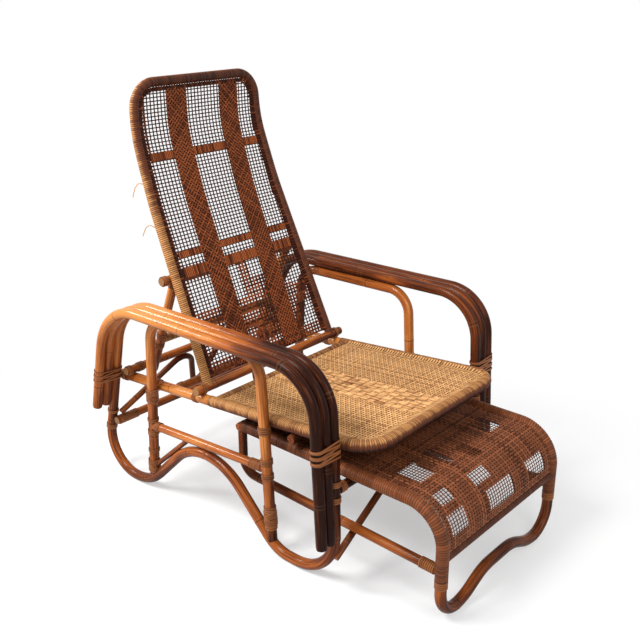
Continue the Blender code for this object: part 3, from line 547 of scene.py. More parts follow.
def wound_cane(name, base, worn_and_shaded):
    """Split cane skin, one turn beside the next: pale crowns and dark seams, painted shade in the grooves
    between turns, and a satin gloss.
    """
    material, shader, unbent, tone = finish_of(name, 0.10, 0.3)
    shade, seam_shade, turn_tone = tone.parts()
    grain = unbent.stretched(90, 900).noise(1, 3, 0.6)
    smoke = unbent.stretched(20, 12).noise(1, 3, 0.55)
    depth = shade + (turn_tone - 0.5) * 0.35 + (smoke - 0.5) * 0.3 + (grain - 0.5) * 0.2
    body = depth.between(0.05, 0.75).mixed(base, worn_and_shaded)
    dark = depth.between(0.85, 1.5).mixed(body, NIGHT)
    plug(shader, Base_Color=(seam_shade.between(0.15, 0.9) * 0.92).mixed(dark, SEAM_SHADE_BROWN))
    plug(shader, Roughness=0.34 + 0.2 * grain + 0.25 * seam_shade)
    plug(shader, Normal=relief(grain * 0.6 + smoke * 0.3, 0.3, 0.0004))
    return material


WOUND_STRAW = wound_cane("wound_straw_cane", (0.58, 0.275, 0.090), (0.135, 0.034, 0.011))
WOUND_BROWN = wound_cane("wound_brown_cane", (0.25, 0.070, 0.020), (0.065, 0.016, 0.006))


def wound_pole(name, path, diameter, body, shades, replaced, material, pitch=WINDING_PITCH, painted_shade=None):
    """A pole under a close winding of split cane. The last argument gives a direction in which the cane is
    painted darker, as shade, and by how much at even steps along the pole."""
    sides = WINDING_SIDES
    points, places, ways = evenly(path, pitch / PLACES_PER_TURN)
    share = places / places[-1]
    phase = places / pitch
    across_turn = phase - np.floor(phase)
    crown = 1 - (2 * across_turn - 1) ** 2
    radius = diameter / 2 - SEAM_DEPTH * (1 - crown)
    drawn = chance.uniform(0, 1, int(phase[-1]) + 2)
    turn_tone = drawn[np.floor(phase).astype(int)]
    darkness = np.repeat(np.interp(share, np.linspace(0, 1, len(shades)), shades), sides)
    verts, faces, flat = tube(points, places, ways, radius, sides, slide=pitch * SEAM_SLANT)
    if painted_shade:
        direction, amounts = painted_shade
        facing = (verts - np.repeat(points, sides, axis=0)) @ np.array(direction) / (diameter / 2)
        amount = np.repeat(np.interp(share, np.linspace(0, 1, len(amounts)), amounts), sides)
        # Painted shade on the side that faces the given direction.
        darkness = darkness + amount * np.clip(0.5 + facing, 0, 1)
    # The second tone is painted shade in the seams between turns.
    tones = np.stack([darkness, np.repeat(1 - crown, sides), np.repeat(turn_tone, sides)], axis=-1)
    made = new_piece(name, verts, faces, flat, tones, material)
    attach(made, body)
    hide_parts(*replaced)


SEAT_BEND = 0.070
WIDE_PITCH = 0.0050
SHADED_UNDERSIDE = (0.0, -0.3, -0.95)
IN_RAIL = 0.004
seat_corners = [(x, y, seat_z(y)) for x, y in ((-SEAT_X, SEAT_REAR_Y), (-SEAT_X, SEAT_FRONT_Y),
                                               (SEAT_X, SEAT_FRONT_Y), (SEAT_X, SEAT_REAR_Y))]
# The seat rim is painted darker on its lower, outward side, as shade.
wound_pole("seat_rim_winding", rounded(seat_corners, (SEAT_BEND, SEAT_BEND)), RIM, "frame",
           (0.15, 0.20, 0.35, 0.35, 0.35, 0.35, 0.40, 0.4), ["seat_rim"], WOUND_STRAW, WIDE_PITCH,
           (SHADED_UNDERSIDE, (0.5, 0.7, 1.1, 1.1, 1.0, 0.8, 0.8)))
SEAT_BAR_Y = SEAT_REAR_Y - RIM / 2
wound_pole("seat_rear_bar_winding", across(SEAT_BAR_Y, seat_z(SEAT_BAR_Y), SEAT_X - IN_RAIL), CROSS_POLE,
           "frame", (0.3, 0.5), ["seat_rear_bar"], WOUND_STRAW)

# Back
# The back is one bent rim wound with cane, on a plain bottom bar that turns in cane saddles. A
# panel of dark reddish cane is woven inside it, open like a net between close-woven bands.

HINGE_Y = 0.405
HINGE_BAR = 0.025
HINGE_Z = seat_z(HINGE_Y) + (POLE + HINGE_BAR) / 2 + 2 * GAP
BACK_POLE = 0.025
BACK_SIDE = ((HINGE_Y, HINGE_Z), (0.608, 0.805), (0.668, 0.975), (0.673, 1.103))
BACK_BENDS = (0.900, 0.350)
BACK_CORNER = 0.068
BACK_HALF = (0.243, 0.214)
HINGE_BAR_HALF = 0.288
BACK_RIM_PITCH = 0.0052
# A direction away from the lamps; the back rim is painted darker, as shade, on its side that faces it.
AWAY_FROM_LIGHT = (0.66, -0.75, 0.0)


def back_half(z):
    share = (z - HINGE_Z) / (BACK_SIDE[-1][1] - HINGE_Z)
    return BACK_HALF[0] + (BACK_HALF[1] - BACK_HALF[0]) * share


rattan_pole("back_hinge_bar", across(HINGE_Y, HINGE_Z, HINGE_BAR_HALF), HINGE_BAR, "back",
            (0.25, 0.35, 0.3, 0.7), ["back_bottom_bar"])
back_corners = [(-back_half(z), y, z) for y, z in BACK_SIDE]
back_corners += [(back_half(z), y, z) for y, z in BACK_SIDE[::-1]]
back_rim = rounded(back_corners, (*BACK_BENDS, BACK_CORNER, BACK_CORNER, *BACK_BENDS[::-1]), radians(3))
# The back rim is painted darker on the side turned away from the light, as shade, most on its upper near
# side.
wound_pole("back_rim_winding", back_rim, BACK_POLE, "back",
           (0.10, 0.12, 0.15, 0.25, 0.30, 0.40, 0.55, 0.65, 0.85, 0.90, 0.9, 0.8), ["back_rim"],
           WOUND_STRAW, BACK_RIM_PITCH,
           (AWAY_FROM_LIGHT, (0.0, 0.1, 0.2, 0.8, 0.9, 0.7, 0.4, 0.2, 0.1, 0.1)))
# Painted shade: the colour of a strand where it passes under another and on its hidden side.
DIP_SHADE_BROWN = (0.025, 0.009, 0.005)


def woven_cane(name, base, deep, gloss=0.03):
    """Flat woven splints: fibres along each one, painted shade where a strand dips under another and on its
    hidden side, a dull sheen.
    """
    material, shader, unbent, tone = finish_of(name, gloss, 0.3, 0.08)
    shade, dip_shade, strand_tone = tone.parts()
    fibres = unbent.stretched(1500, 40).noise(1, 3, 0.6)
    smoke = unbent.stretched(30, 12).noise(1, 3, 0.55)
    depth = shade + (strand_tone - 0.5) * 0.3 + (smoke - 0.5) * 0.4 + (fibres - 0.5) * 0.5
    body = depth.between(0.0, 0.8).mixed(base, deep)
    # Painted shade where strands pass under others and on their hidden side.
    plug(shader, Base_Color=(dip_shade * 0.8).mixed(body, DIP_SHADE_BROWN))
    plug(shader, Roughness=0.5 + 0.25 * fibres)
    plug(shader, Normal=relief(fibres, 0.4, 0.0003))
    return material


WOVEN_BROWN = woven_cane("woven_brown_cane", (0.38, 0.100, 0.030), (0.042, 0.010, 0.005))
WOVEN_GOLD = woven_cane("woven_gold_cane", (0.84, 0.46, 0.19), (0.20, 0.060, 0.015))
WOVEN_RUSSET = woven_cane("woven_russet_cane", (0.31, 0.100, 0.042), (0.035, 0.010, 0.005))


PROFILE_STEP = 0.004


class Panel:
    """A woven panel: its profile from the side and its half width at each length along it. drift is how far
    its weave runs sideways for each metre, outward is 1 or -1 for the side that counts as proud, and the last
    argument is how much painted shade darkens the hidden side of its strands."""

    def __init__(self, profile, half_at, drift=0.0, outward=1, under_shade=0.0):
        self.drift = drift
        self.under_shade = under_shade
        self.outward = outward
        line = np.array([(p[1], p[2]) for p in profile], float)
        steps = np.linalg.norm(np.diff(line, axis=0), axis=1)
        self.line = line
        self.run = np.concatenate([[0], np.cumsum(steps)])
        self.length = self.run[-1]
        self.half_at = half_at

    def on_profile(self, along):
        inside = np.clip(along, 0, self.length)
        return np.stack([np.interp(inside, self.run, self.line[:, k]) for k in range(2)], axis=-1)

    def place(self, x, along, proud):
        """Points at x across and a length along, standing proud of the panel."""
        beyond = along - np.clip(along, 0, self.length)
        along = np.clip(along, 0, self.length)
        way = self.on_profile(along + PROFILE_STEP) - self.on_profile(along - PROFILE_STEP)
        way = way / np.linalg.norm(way, axis=-1)[:, None]
        out = np.stack([-way[:, 1], way[:, 0]], axis=-1) * proud[:, None] * self.outward
        shown = self.on_profile(along) + way * beyond[:, None] + out
        return np.stack([x + self.drift * along, shown[:, 0], shown[:, 1]], axis=-1)

    def side_room(self, x, t):
        """How far a place is from the nearest side of the panel."""
        return self.half_at(t) - abs(x + self.drift * t)


def splint(panel, xs, alongs, widths, heights, thick, shade, strand_tone, dip_shades):
    """One flat cane strand through the panel, four-sided, with its ends closed and painted shade on its
    hidden side. Widths, heights, shade and the painted dip shade are one value, or one at each place."""
    count = len(xs)
    widths, heights, shade, dip_shades = (np.broadcast_to(v, count) for v in (widths, heights, shade, dip_shades))
    ahead = np.gradient(np.stack([xs, alongs], axis=-1), axis=0)
    ahead = ahead / np.linalg.norm(ahead, axis=1)[:, None]
    side = np.stack([-ahead[:, 1], ahead[:, 0]], axis=-1)
    corners = []
    for across_by, up_by in ((-1, -1), (1, -1), (1, 1), (-1, 1)):
        x = xs + side[:, 0] * widths / 2 * across_by
        t = alongs + side[:, 1] * widths / 2 * across_by
        corners.append(panel.place(x, t, heights + up_by * thick / 2))
    verts = np.stack(corners, axis=1).reshape(-1, 3)
    faces = skin(count, 4) + [(3, 2, 1, 0), tuple(range(count * 4 - 4, count * 4))]
    run = np.concatenate([[0], np.cumsum(np.hypot(np.diff(xs), np.diff(alongs)))])
    flat = np.stack([np.tile([-1, 1, 1, -1], count) * np.repeat(widths / 2, 4),
                     np.tile([-1, -1, 1, 1], count) * thick, np.repeat(run + strand_tone * 7, 4)], axis=-1)
    # Painted shade: the parts that dip under other strands, and the lower corners by the panel's amount, are
    # darkened.
    under_shade = np.maximum(np.repeat(dip_shades, 4), np.tile([1, 1, 0, 0], count) * panel.under_shade)
    tones = np.stack([np.repeat(shade, 4), under_shade, np.full(count * 4, strand_tone)], axis=-1)
    return verts, faces, flat, tones


def no_shade(x, t):
    return 0.0


OVER_RISE = 0.56
SIDE_CLEAR = 0.001


def crossing_strand(panel, line, crossings, lines, parity, along_x, width_of, shade_of, thick):
    """One strand of the weave, over and under the strands that it crosses."""
    stops = np.concatenate([crossings, (crossings[:-1] + crossings[1:]) / 2])
    number = np.concatenate([np.searchsorted(lines, crossings - 1e-9), np.full(len(crossings) - 1, -1)])
    order = np.argsort(stops)
    stops, number = stops[order], number[order]
    first = -1.0 if along_x else 1.0
    over = np.where(number < 0, 0.0, np.where((number + parity) % 2 == 0, first, -first))
    if along_x:
        half = panel.half_at(line)
        stops[0], stops[-1] = -half - panel.drift * line, half - panel.drift * line
    fixed = np.full(len(stops), line)
    xs, ts = (stops, fixed) if along_x else (fixed, stops)
    widths = [width_of(x, t, int(along_x)) for x, t in zip(xs, ts)]
    shades = np.array([shade_of(x, t) for x, t in zip(xs, ts)]) + chance.uniform(0.1, 0.35)
    # Where the strand passes under another it gets painted shade.
    return splint(panel, xs, ts, widths, over * thick * OVER_RISE, thick, shades, chance.uniform(),
                  np.clip(-over, 0, 1))


def woven(name, panel, columns, rows, thick, body, material, replaced, width_of, shade_of=no_shade, extra=()):
    """A panel of crossing splints, each going over one and under the next."""
    strands = []
    for along_x, lines, others in ((False, columns, rows), (True, rows, columns)):
        for parity, line in enumerate(lines):
            met = [at for at in others
                   if panel.side_room(*((at, line) if along_x else (line, at))) > SIDE_CLEAR]
            if len(met) > 1:
                strands.append(crossing_strand(panel, line, np.array(met), others, parity, along_x,
                                               width_of, shade_of, thick))
    strands += extra
    counts = np.cumsum([0] + [len(s[0]) for s in strands])
    faces = [tuple(k + first for k in face) for first, s in zip(counts, strands) for face in s[1]]
    made = new_piece(name, np.vstack([s[0] for s in strands]), faces, np.vstack([s[2] for s in strands]),
                     np.vstack([s[3] for s in strands]), material, smooth=False)
    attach(made, body)
    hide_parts(*replaced)


BACKING_DEPTH = 0.0014
BACKING_THICK = 0.0006


def painted_shade_backing(panel, columns, rows, is_open):
    """Dark strands behind the small holes of the close weave, painted shade seen through the holes, so that
    only the windows are open.
    """
    made = []
    pitch = columns[1] - columns[0]
    for x in (columns[:-1] + columns[1:]) / 2:
        inside = np.array([t for t in rows if panel.side_room(x, t) > 0.004 and not is_open(x, t)])
        breaks = np.where(np.diff(inside) > 1.5 * (rows[1] - rows[0]))[0] + 1
        for part in np.split(inside, breaks):
            if len(part) > 1:
                line = np.concatenate([[part[0] - pitch / 3], part, [part[-1] + pitch / 3]])
                made.append(splint(panel, np.full(len(line), x), line, pitch * 0.8, -BACKING_DEPTH,
                                   BACKING_THICK, 1.2, chance.uniform(), 1.0))
    return made


EDGE_START = 0.006
EDGE_INSETS = (-0.0020, 0.0030, 0.0080)
EDGE_STRAND = (0.0040, 0.0012)
STITCH = (0.0046, 0.0010)
STITCH_INSET = 0.0120
STITCH_STEP = 0.0088


def edge_line(side_at, length, corner, inset):
    """Places (x, t) along a panel's edge: up one side, round its two top corners and down."""
    up = np.linspace(EDGE_START, length - corner, 60)
    turn = np.linspace(0, pi / 2, 9)[1:]
    bend = corner - inset
    centre = side_at(length - corner) - corner
    x = np.concatenate([[side_at(t) - inset for t in up], centre + bend * np.cos(turn)])
    t = np.concatenate([up, length - corner + bend * np.sin(turn)])
    over_top = np.linspace(-x[-1], x[-1], 12)[1:-1]
    all_x = np.concatenate([-x, over_top, x[::-1]])
    return all_x, np.concatenate([t, np.full(len(over_top), t[-1]), t[::-1]])


def edging(panel, side_at, corner, flipped, over_rim, shade):
    """The edge of a panel: three strands beside the rim, and a stitch over them at each step.
    over_rim is how far the stitches reach over the rim and how high they rise there."""
    made = []
    length = panel.length
    for inset in EDGE_INSETS:
        x, t = edge_line(side_at, length, corner, inset)
        t = length - t if flipped else t
        made.append(splint(panel, x - panel.drift * t, t, EDGE_STRAND[0], EDGE_STRAND[1], EDGE_STRAND[1],
                           shade + chance.uniform(0, 0.3), chance.uniform(), 0.0))
    outer, inner = (edge_line(side_at, length, corner, inset) for inset in (-over_rim[0], STITCH_INSET))
    run = np.concatenate([[0], np.cumsum(np.hypot(np.diff(inner[0]), np.diff(inner[1])))])
    for at in np.arange(EDGE_START, run[-1], STITCH_STEP):
        ends = [[np.interp(at, run, part) for part in line] for line in (inner, outer)]
        share = np.linspace(0, 1, 5)
        x = ends[0][0] + (ends[1][0] - ends[0][0]) * share
        t = ends[0][1] + (ends[1][1] - ends[0][1]) * share
        t = length - t if flipped else t
        lift = 0.0018 + over_rim[1] * share ** 2
        # Each stitch is painted darker, as shade, where it goes in under the weave.
        made.append(splint(panel, x - panel.drift * t, t, STITCH[0], lift, STITCH[1],
                           shade + chance.uniform(-0.3, 0.2), chance.uniform(), 0.5 * (1 - share)))
    return made


BACK_INSET = BACK_POLE / 2 + GAP
BACK_TOP_Z = BACK_SIDE[-1][1] - BACK_INSET
lean = atan((BACK_SIDE[1][0] - HINGE_Y) / (BACK_SIDE[1][1] - HINGE_Z))
foot = (0, HINGE_Y + sin(lean) * HINGE_BAR / 2, HINGE_Z + cos(lean) * HINGE_BAR / 2)
back_profile = rounded([foot] + [(0, y, z) for y, z in BACK_SIDE[1:-1]] + [(0, BACK_SIDE[-1][0], BACK_TOP_Z)],
                       BACK_BENDS, radians(1.5))


def back_side(along):
    """Half width between the straight sides of the rim at a length along the back."""
    return back_half(np.interp(along, BACK_PANEL.run, BACK_PANEL.line[:, 1])) - BACK_INSET


def back_room(along):
    """Half width inside the rim at a length along the back, rounded in at its top corners."""
    corner = BACK_CORNER - BACK_INSET
    below_top = BACK_PANEL.length - along
    cut = 0 if below_top > corner else corner - sqrt(max(0, corner ** 2 - (corner - below_top) ** 2))
    return back_side(along) - cut


BACK_PANEL = Panel(back_profile, back_room, drift=0.026)
BACK_THICK = 0.0012
BAND_IN = 0.060
BAND_OUT = 0.128
BAND_WIDE = 0.068
BACK_WINDOWS = (
    (-0.060, 0.060, 0.607, 0.765), (-0.200, -0.128, 0.607, 0.765), (0.128, 0.200, 0.607, 0.765),
    (-0.060, 0.060, 0.343, 0.588), (-0.206, -0.128, 0.343, 0.588), (0.128, 0.206, 0.343, 0.588),
    (-0.060, 0.060, 0.303, 0.328), (-0.206, -0.128, 0.303, 0.328), (0.128, 0.206, 0.303, 0.328),
    (-0.206, -0.128, 0.175, 0.262), (0.155, 0.206, 0.170, 0.262), (-0.060, -0.024, 0.175, 0.272),
    (0.006, 0.060, 0.225, 0.272), (0.010, 0.060, 0.095, 0.160), (0.128, 0.150, 0.175, 0.262),
    (0.155, 0.206, 0.040, 0.110), (-0.206, -0.128, 0.040, 0.100))
BACK_BANDS = ((0.588, 0.607), (0.328, 0.343), (0.275, 0.300))
CLOSE = (0.0106, 0.0086)
NET = (0.0032, 0.0029)
BETWEEN = (0.0062, 0.0054)


def in_window(x, t, windows):
    return any(x0 <= x <= x1 and t0 <= t <= t1 for x0, x1, t0, t1 in windows)


def back_width(x, t, direction):
    """How wide a splint is here: thin in the open windows, broad in the close-woven bands."""
    edge = min(BACK_PANEL.side_room(x, t), BACK_PANEL.length - t)
    if edge < 0.010 or BAND_IN < abs(x) < BAND_OUT or any(low < t < high for low, high in BACK_BANDS):
        return CLOSE[direction]
    return NET[direction] if in_window(x, t, BACK_WINDOWS) else BETWEEN[direction]


def back_shade(x, t):
    """Darker tones: the ground of the vertical bands, as painted shade under the diagonals; the horizontal
    bands; and the thin strands of the open net, as painted shade on strands seen against the light.
    """
    if BAND_IN - 0.004 < abs(x) < BAND_OUT + 0.004:
        return 1.2
    if any(low < t < high for low, high in BACK_BANDS):
        return 1.0
    return 0.85 if in_window(x, t, BACK_WINDOWS) else 0.30


BACK_PITCH = (0.0117, 0.0096)
DIAGONAL = (0.0032, 0.0010)
DIAGONAL_STARTS = (-0.06, 0.77)
PROUD = 0.0014
SWELL = 0.0006
UPRIGHT = (0.0037, 0.0010)
UPRIGHT_PROUD = 0.0013
UPRIGHT_STEP = 0.0058
back_columns = (np.arange(-20, 20) + 0.5) * BACK_PITCH[0]
back_rows = np.arange(1, int(BACK_PANEL.length / BACK_PITCH[1]) + 1) * BACK_PITCH[1]
crossings = []
for face in (1, -1):
    for sign in (-1, 1):
        for way in (-1, 1):
            for start in np.arange(*DIAGONAL_STARTS, BACK_PITCH[0]):
                t = np.linspace(start, start + BAND_WIDE, 15)
                x = sign * (BAND_IN + (t - start)) if way > 0 else sign * (BAND_OUT - (t - start))
                fits = (t > 0.006) & (t < BACK_PANEL.length - 0.004)
                steps = np.arange(fits.sum())
                if len(steps) < 3:
                    continue
                lift = face * (PROUD + SWELL * np.sin((steps + way) * pi / 2))
                # Each diagonal is painted darker, as shade, where it passes under its neighbours.
                crossings.append(splint(BACK_PANEL, x[fits], t[fits], DIAGONAL[0], lift, DIAGONAL[1],
                                        chance.uniform(-0.2, 0.6), chance.uniform(),
                                        0.4 + 0.4 * np.cos(steps * pi / 2)))
for low, high in BACK_BANDS:
    for x in np.arange(-0.205, 0.206, UPRIGHT_STEP):
        if BAND_IN < abs(x) < BAND_OUT or BACK_PANEL.side_room(x, low) < 0.012:
            continue
        t = np.linspace(low - 0.001, high + 0.001, 4)
        for face in (1, -1):
            crossings.append(splint(BACK_PANEL, np.full(4, x), t, UPRIGHT[0], UPRIGHT_PROUD * face,
                                    UPRIGHT[1], chance.uniform(-0.1, 0.6), chance.uniform(), 0.0))
OVER_BACK_RIM = (0.007, 0.006)
crossings += edging(BACK_PANEL, back_side, BACK_CORNER - BACK_INSET, False, OVER_BACK_RIM, 0.75)
woven("back_woven_panel", BACK_PANEL, back_columns, back_rows, BACK_THICK, "back", WOVEN_BROWN,
      ["back_weave"], back_width, back_shade, crossings)

LOOSE_RADIUS = 0.0011
LOOSE_STEP = 0.0015
LOOSE_BEND = 0.010
LOOSE_ENDS = (
    (0.855, ((0.000, 0.000), (0.012, 0.004), (0.022, -0.010), (0.029, -0.034))),
    (0.748, ((0.000, 0.000), (0.013, 0.008), (0.024, 0.001), (0.034, -0.022))))
side_y, side_z = zip(*BACK_SIDE)
for number, (start_z, bends) in enumerate(LOOSE_ENDS, start=1):
    root = Vector((-back_half(start_z) - 0.008, np.interp(start_z, side_z, side_y) + 0.009, start_z))
    line = [root - Vector(AWAY_FROM_LIGHT) * out + Vector((0, 0, 1)) * rise for out, rise in bends]
    points, places, ways = evenly(rounded(line, (LOOSE_BEND, LOOSE_BEND)), LOOSE_STEP)
    verts, faces, flat = tube(points, places, ways, np.full(len(points), LOOSE_RADIUS), 8)
    tones = np.tile((0.1, 0.2, 0.5), (len(verts), 1))
    loose = new_piece(f"loose_cane_end_{number}", verts, faces, flat, tones, WOUND_STRAW)
    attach(loose, "back")

# Stay
# A plain bar tied behind the back carries two legs and a wound crossbar. The legs lean down to
# the upper cross bar and hold the back up.

STAY_HALF_BAR = 0.262
STAY_LEG_X = 0.215
STAY_UP_BACK = 0.296
STAY_CROSSBAR_DOWN = 0.210
LEG_PAST_BAR = 0.002
up = Vector((0, sin(lean), cos(lean)))
rearward = Vector((0, cos(lean), -sin(lean)))
behind_rim = (BACK_POLE + CROSS_POLE) / 2 + GAP
STAY_PIVOT = Vector((0, HINGE_Y, HINGE_Z)) + up * STAY_UP_BACK + rearward * behind_rim
rest = Vector((0, UPPER_BAR_Y, UPPER_BAR_Z)) - STAY_PIVOT
swing = atan(((CROSS_POLE + BACK_POLE) / 2 + 4 * GAP) / rest.length)
steep_down = rest.normalized()
leg_way = Vector((0, steep_down.y * cos(swing) + steep_down.z * sin(swing),
                  steep_down.z * cos(swing) - steep_down.y * sin(swing)))
leg_length = rest.length * cos(swing) + LEG_PAST_BAR
rattan_pole("stay_bar", across(STAY_PIVOT.y, STAY_PIVOT.z, STAY_HALF_BAR), CROSS_POLE, "stay",
            (0.3, 0.5, 0.7), ["stay_top_bar"])
for side, sign in SIDES:
    head = Vector((sign * STAY_LEG_X, STAY_PIVOT.y, STAY_PIVOT.z))
    rattan_pole(f"stay_prop_{side}", [head, head + leg_way * leg_length], BACK_POLE, "stay",
                (0.08, 0.18, 0.4), [f"stay_leg_{side}"], SAWN_FOOT)
middle = STAY_PIVOT + leg_way * STAY_CROSSBAR_DOWN
wound_pole("stay_crossbar_winding", across(middle.y, middle.z, STAY_LEG_X - IN_RAIL), CROSS_POLE,
           "stay", (0.3, 0.5), ["stay_crossbar"], WOUND_STRAW)

# Seat panel
# Honey-coloured cane is woven close inside the seat's rim, with small holes between the rows.
# A solid band of blocks runs from front to back down its middle.

SEAT_INSET = RIM / 2 + GAP
SEAT_SHEET_RISE = 0.006
seat_front = SEAT_FRONT_Y + SEAT_INSET
seat_rear = SEAT_BAR_Y - CROSS_POLE / 2 - GAP
SEAT_CORNER = SEAT_BEND - SEAT_INSET


def seat_side(along):
    return SEAT_X - SEAT_INSET


def seat_room(along):
    """Half width inside the rim at a length along the seat, rounded in at its front corners."""
    if along > SEAT_CORNER:
        return seat_side(along)
    return seat_side(along) - (SEAT_CORNER - sqrt(max(0, SEAT_CORNER ** 2 - (SEAT_CORNER - along) ** 2)))


seat_profile = [(0, y, seat_z(y) + SEAT_SHEET_RISE) for y in (seat_front, seat_rear)]
# The seat's strands get painted shade on their hidden side.
SEAT_PANEL = Panel(seat_profile, seat_room, under_shade=1.0)
SEAT_THICK = 0.0010
SEAT_PITCH = (0.0094, 0.0080)
SOLID_BAND = 0.056
SEAT_CLOSE = (0.0088, 0.0074)
SEAT_HOLED = (0.0047, 0.0036)


def in_solid_band(x, t):
    return abs(x) < SOLID_BAND


def seat_width(x, t, direction):
    """Close down the middle, with a small hole at every crossing elsewhere."""
    return SEAT_CLOSE[direction] if in_solid_band(x, t) else SEAT_HOLED[direction]


seat_columns = np.arange(-27, 28) * SEAT_PITCH[0]
seat_rows = np.arange(1, int(SEAT_PANEL.length / SEAT_PITCH[1]) + 1) * SEAT_PITCH[1]
BLOCK_LENGTH = 0.030
BLOCK_STEP = (0.0142, 0.025)
BLOCK_START = (0.0025, 0.012)
BLOCK_STRAND = (0.0042, 0.0009)
BLOCK_STRAND_STEP = 0.0046
seat_blocks = []
turn = np.linspace(0, pi, 6)
for row in range(18):
    for column in range(-4, 4):
        if (row + column) % 2:
            continue
        t = np.linspace(0, BLOCK_LENGTH, 6) + BLOCK_START[1] + row * BLOCK_STEP[1]
        tone = chance.uniform(0.0, 0.45)
        for k in range(3):
            x = np.full(6, column * BLOCK_STEP[0] + BLOCK_START[0] + k * BLOCK_STRAND_STEP)
            if t[-1] < SEAT_PANEL.length:
                # Each block strand is painted darker, as shade, at its ends where it dives under.
                seat_blocks.append(splint(SEAT_PANEL, x, t, BLOCK_STRAND[0], PROUD + SWELL * np.sin(turn),
                                          BLOCK_STRAND[1], tone + chance.uniform(-0.15, 0.3),
                                          chance.uniform(), 0.6 * np.cos(turn) ** 6))
# Painted shade: dark strands under the seat's small holes.
seat_blocks += painted_shade_backing(SEAT_PANEL, seat_columns, seat_rows, in_solid_band)
OVER_SEAT_RIM = (0.008, 0.006)
seat_blocks += edging(SEAT_PANEL, seat_side, SEAT_CORNER, True, OVER_SEAT_RIM, 0.15)
woven("seat_woven_panel", SEAT_PANEL, seat_columns, seat_rows, SEAT_THICK, "frame", WOVEN_GOLD,
      ["seat_weave"], seat_width, extra=seat_blocks)

# Footrest
# A wound rail on each side bends down into a front leg, joined by a floor loop with a hump. A
# russet panel is woven over the bend, and bent lower rails tie the legs to the rear bar.

FOOTREST_X = 0.245
FOOTREST_FRONT_Y = -0.337
FOOTREST_BAR_Y = 0.280
FOOTREST_BAR = 0.023
FOOTREST_BEND = 0.095
FOOTREST_HEM = (0.167, 0.022)
FOOTREST_BAR_HALF = 0.259
FOOTREST_RAIL_PITCH = 0.0058
RUNNER_Z = (0.155, 0.137)
RUNNER_BEND = 0.045
FLOOR_LOOP_BENDS = (0.068, 0.140, 0.140)
FLOOR_LOOP_FLAT_X = 0.150
FLOOR_LOOP_HUMP = (0.065, 0.052)
JOINT_Z = 0.112

rattan_pole("footrest_hidden_bar", across(FOOTREST_BAR_Y, FOOTREST_Z, FOOTREST_BAR_HALF), FOOTREST_BAR,
            "footrest", (0.6, 0.7), ["footrest_rear_bar"], HIDDEN)
wound_pole("footrest_hem", across(FOOTREST_FRONT_Y, FOOTREST_HEM[0], FOOTREST_X), FOOTREST_HEM[1],
           "footrest", (0.6, 0.7, 0.6), ["footrest_hem_bar"], WOUND_BROWN)
for side, sign in SIDES:
    x = sign * FOOTREST_X
    rail = rounded([(x, FOOTREST_BAR_Y, FOOTREST_Z), (x, FOOTREST_FRONT_Y, FOOTREST_Z),
                    (x, FOOTREST_FRONT_Y, JOINT_Z)], (FOOTREST_BEND,))
    wound_pole(f"footrest_rail_winding_{side}", rail, FOOTREST_RAIL, "footrest",
               (0.6, 0.5, 0.3, 0.2, 0.3, 0.5), [f"footrest_side_rail_{side}"], WOUND_BROWN,
               FOOTREST_RAIL_PITCH)
    lower = rounded([(x, FOOTREST_BAR_Y, FOOTREST_Z), (x, FOOTREST_BAR_Y, RUNNER_Z[0]),
                     (x, FOOTREST_FRONT_Y, RUNNER_Z[1])], (RUNNER_BEND,))
    rattan_pole(f"footrest_runner_{side}", lower, CROSS_POLE, "footrest", (0.7, 0.7, 0.5, 0.62),
                [f"footrest_lower_rail_{side}"], HIDDEN)
half_loop = [(FOOTREST_X, JOINT_Z), (FOOTREST_X, FOOT_Z), (FLOOR_LOOP_FLAT_X, FOOT_Z), FLOOR_LOOP_HUMP]
loop = [(-x, FOOTREST_FRONT_Y, z) for x, z in half_loop]
loop += [(x, FOOTREST_FRONT_Y, z) for x, z in half_loop[::-1]]
floor_loop = rounded(loop, (*FLOOR_LOOP_BENDS, *FLOOR_LOOP_BENDS[::-1]))
rattan_pole("footrest_floor_loop", floor_loop, POLE, "footrest", (0.62, 0.68, 0.62, 0.7, 0.66, 0.62),
            ["footrest_front_loop"], HIDDEN)

rise = SEAT_SHEET_RISE
footrest_profile = rounded([(0, FOOTREST_BAR_Y - FOOTREST_BAR / 2 - 0.005, FOOTREST_Z + rise),
                            (0, FOOTREST_FRONT_Y - rise, FOOTREST_Z + rise),
                            (0, FOOTREST_FRONT_Y - rise, FOOTREST_HEM[0] + FOOTREST_HEM[1] / 2 + GAP)],
                           (FOOTREST_BEND + rise,), radians(2))


def footrest_room(along):
    return FOOTREST_X - FOOTREST_RAIL / 2 - GAP


# The footrest's strands get painted shade on their hidden side.
FOOTREST_PANEL = Panel(footrest_profile, footrest_room, outward=-1, under_shade=1.0)
FOOTREST_THICK = 0.0008
FOOTREST_PITCH = (0.0098, 0.0080)
FOOTREST_WINDOWS = (
    (-0.212, -0.148, 0.598, 0.640), (-0.058, 0.050, 0.602, 0.650), (0.122, 0.200, 0.606, 0.652),
    (-0.207, -0.152, 0.540, 0.570), (-0.074, -0.010, 0.545, 0.578), (-0.182, -0.118, 0.430, 0.493),
    (-0.062, -0.048, 0.413, 0.494), (0.000, 0.034, 0.466, 0.522), (0.120, 0.180, 0.430, 0.480))
FOOTREST_NET = (0.0025, 0.0019)
FOOTREST_CLOSE = (0.0060, 0.0046)


def footrest_open(x, t):
    return in_window(x, t, FOOTREST_WINDOWS)


def footrest_width(x, t, direction):
    return FOOTREST_NET[direction] if footrest_open(x, t) else FOOTREST_CLOSE[direction]


def footrest_shade(x, t):
    return 0.3 if footrest_open(x, t) else 0.15


footrest_columns = np.arange(-23, 24) * FOOTREST_PITCH[0]
footrest_rows = np.arange(1, int(FOOTREST_PANEL.length / FOOTREST_PITCH[1]) + 1) * FOOTREST_PITCH[1]
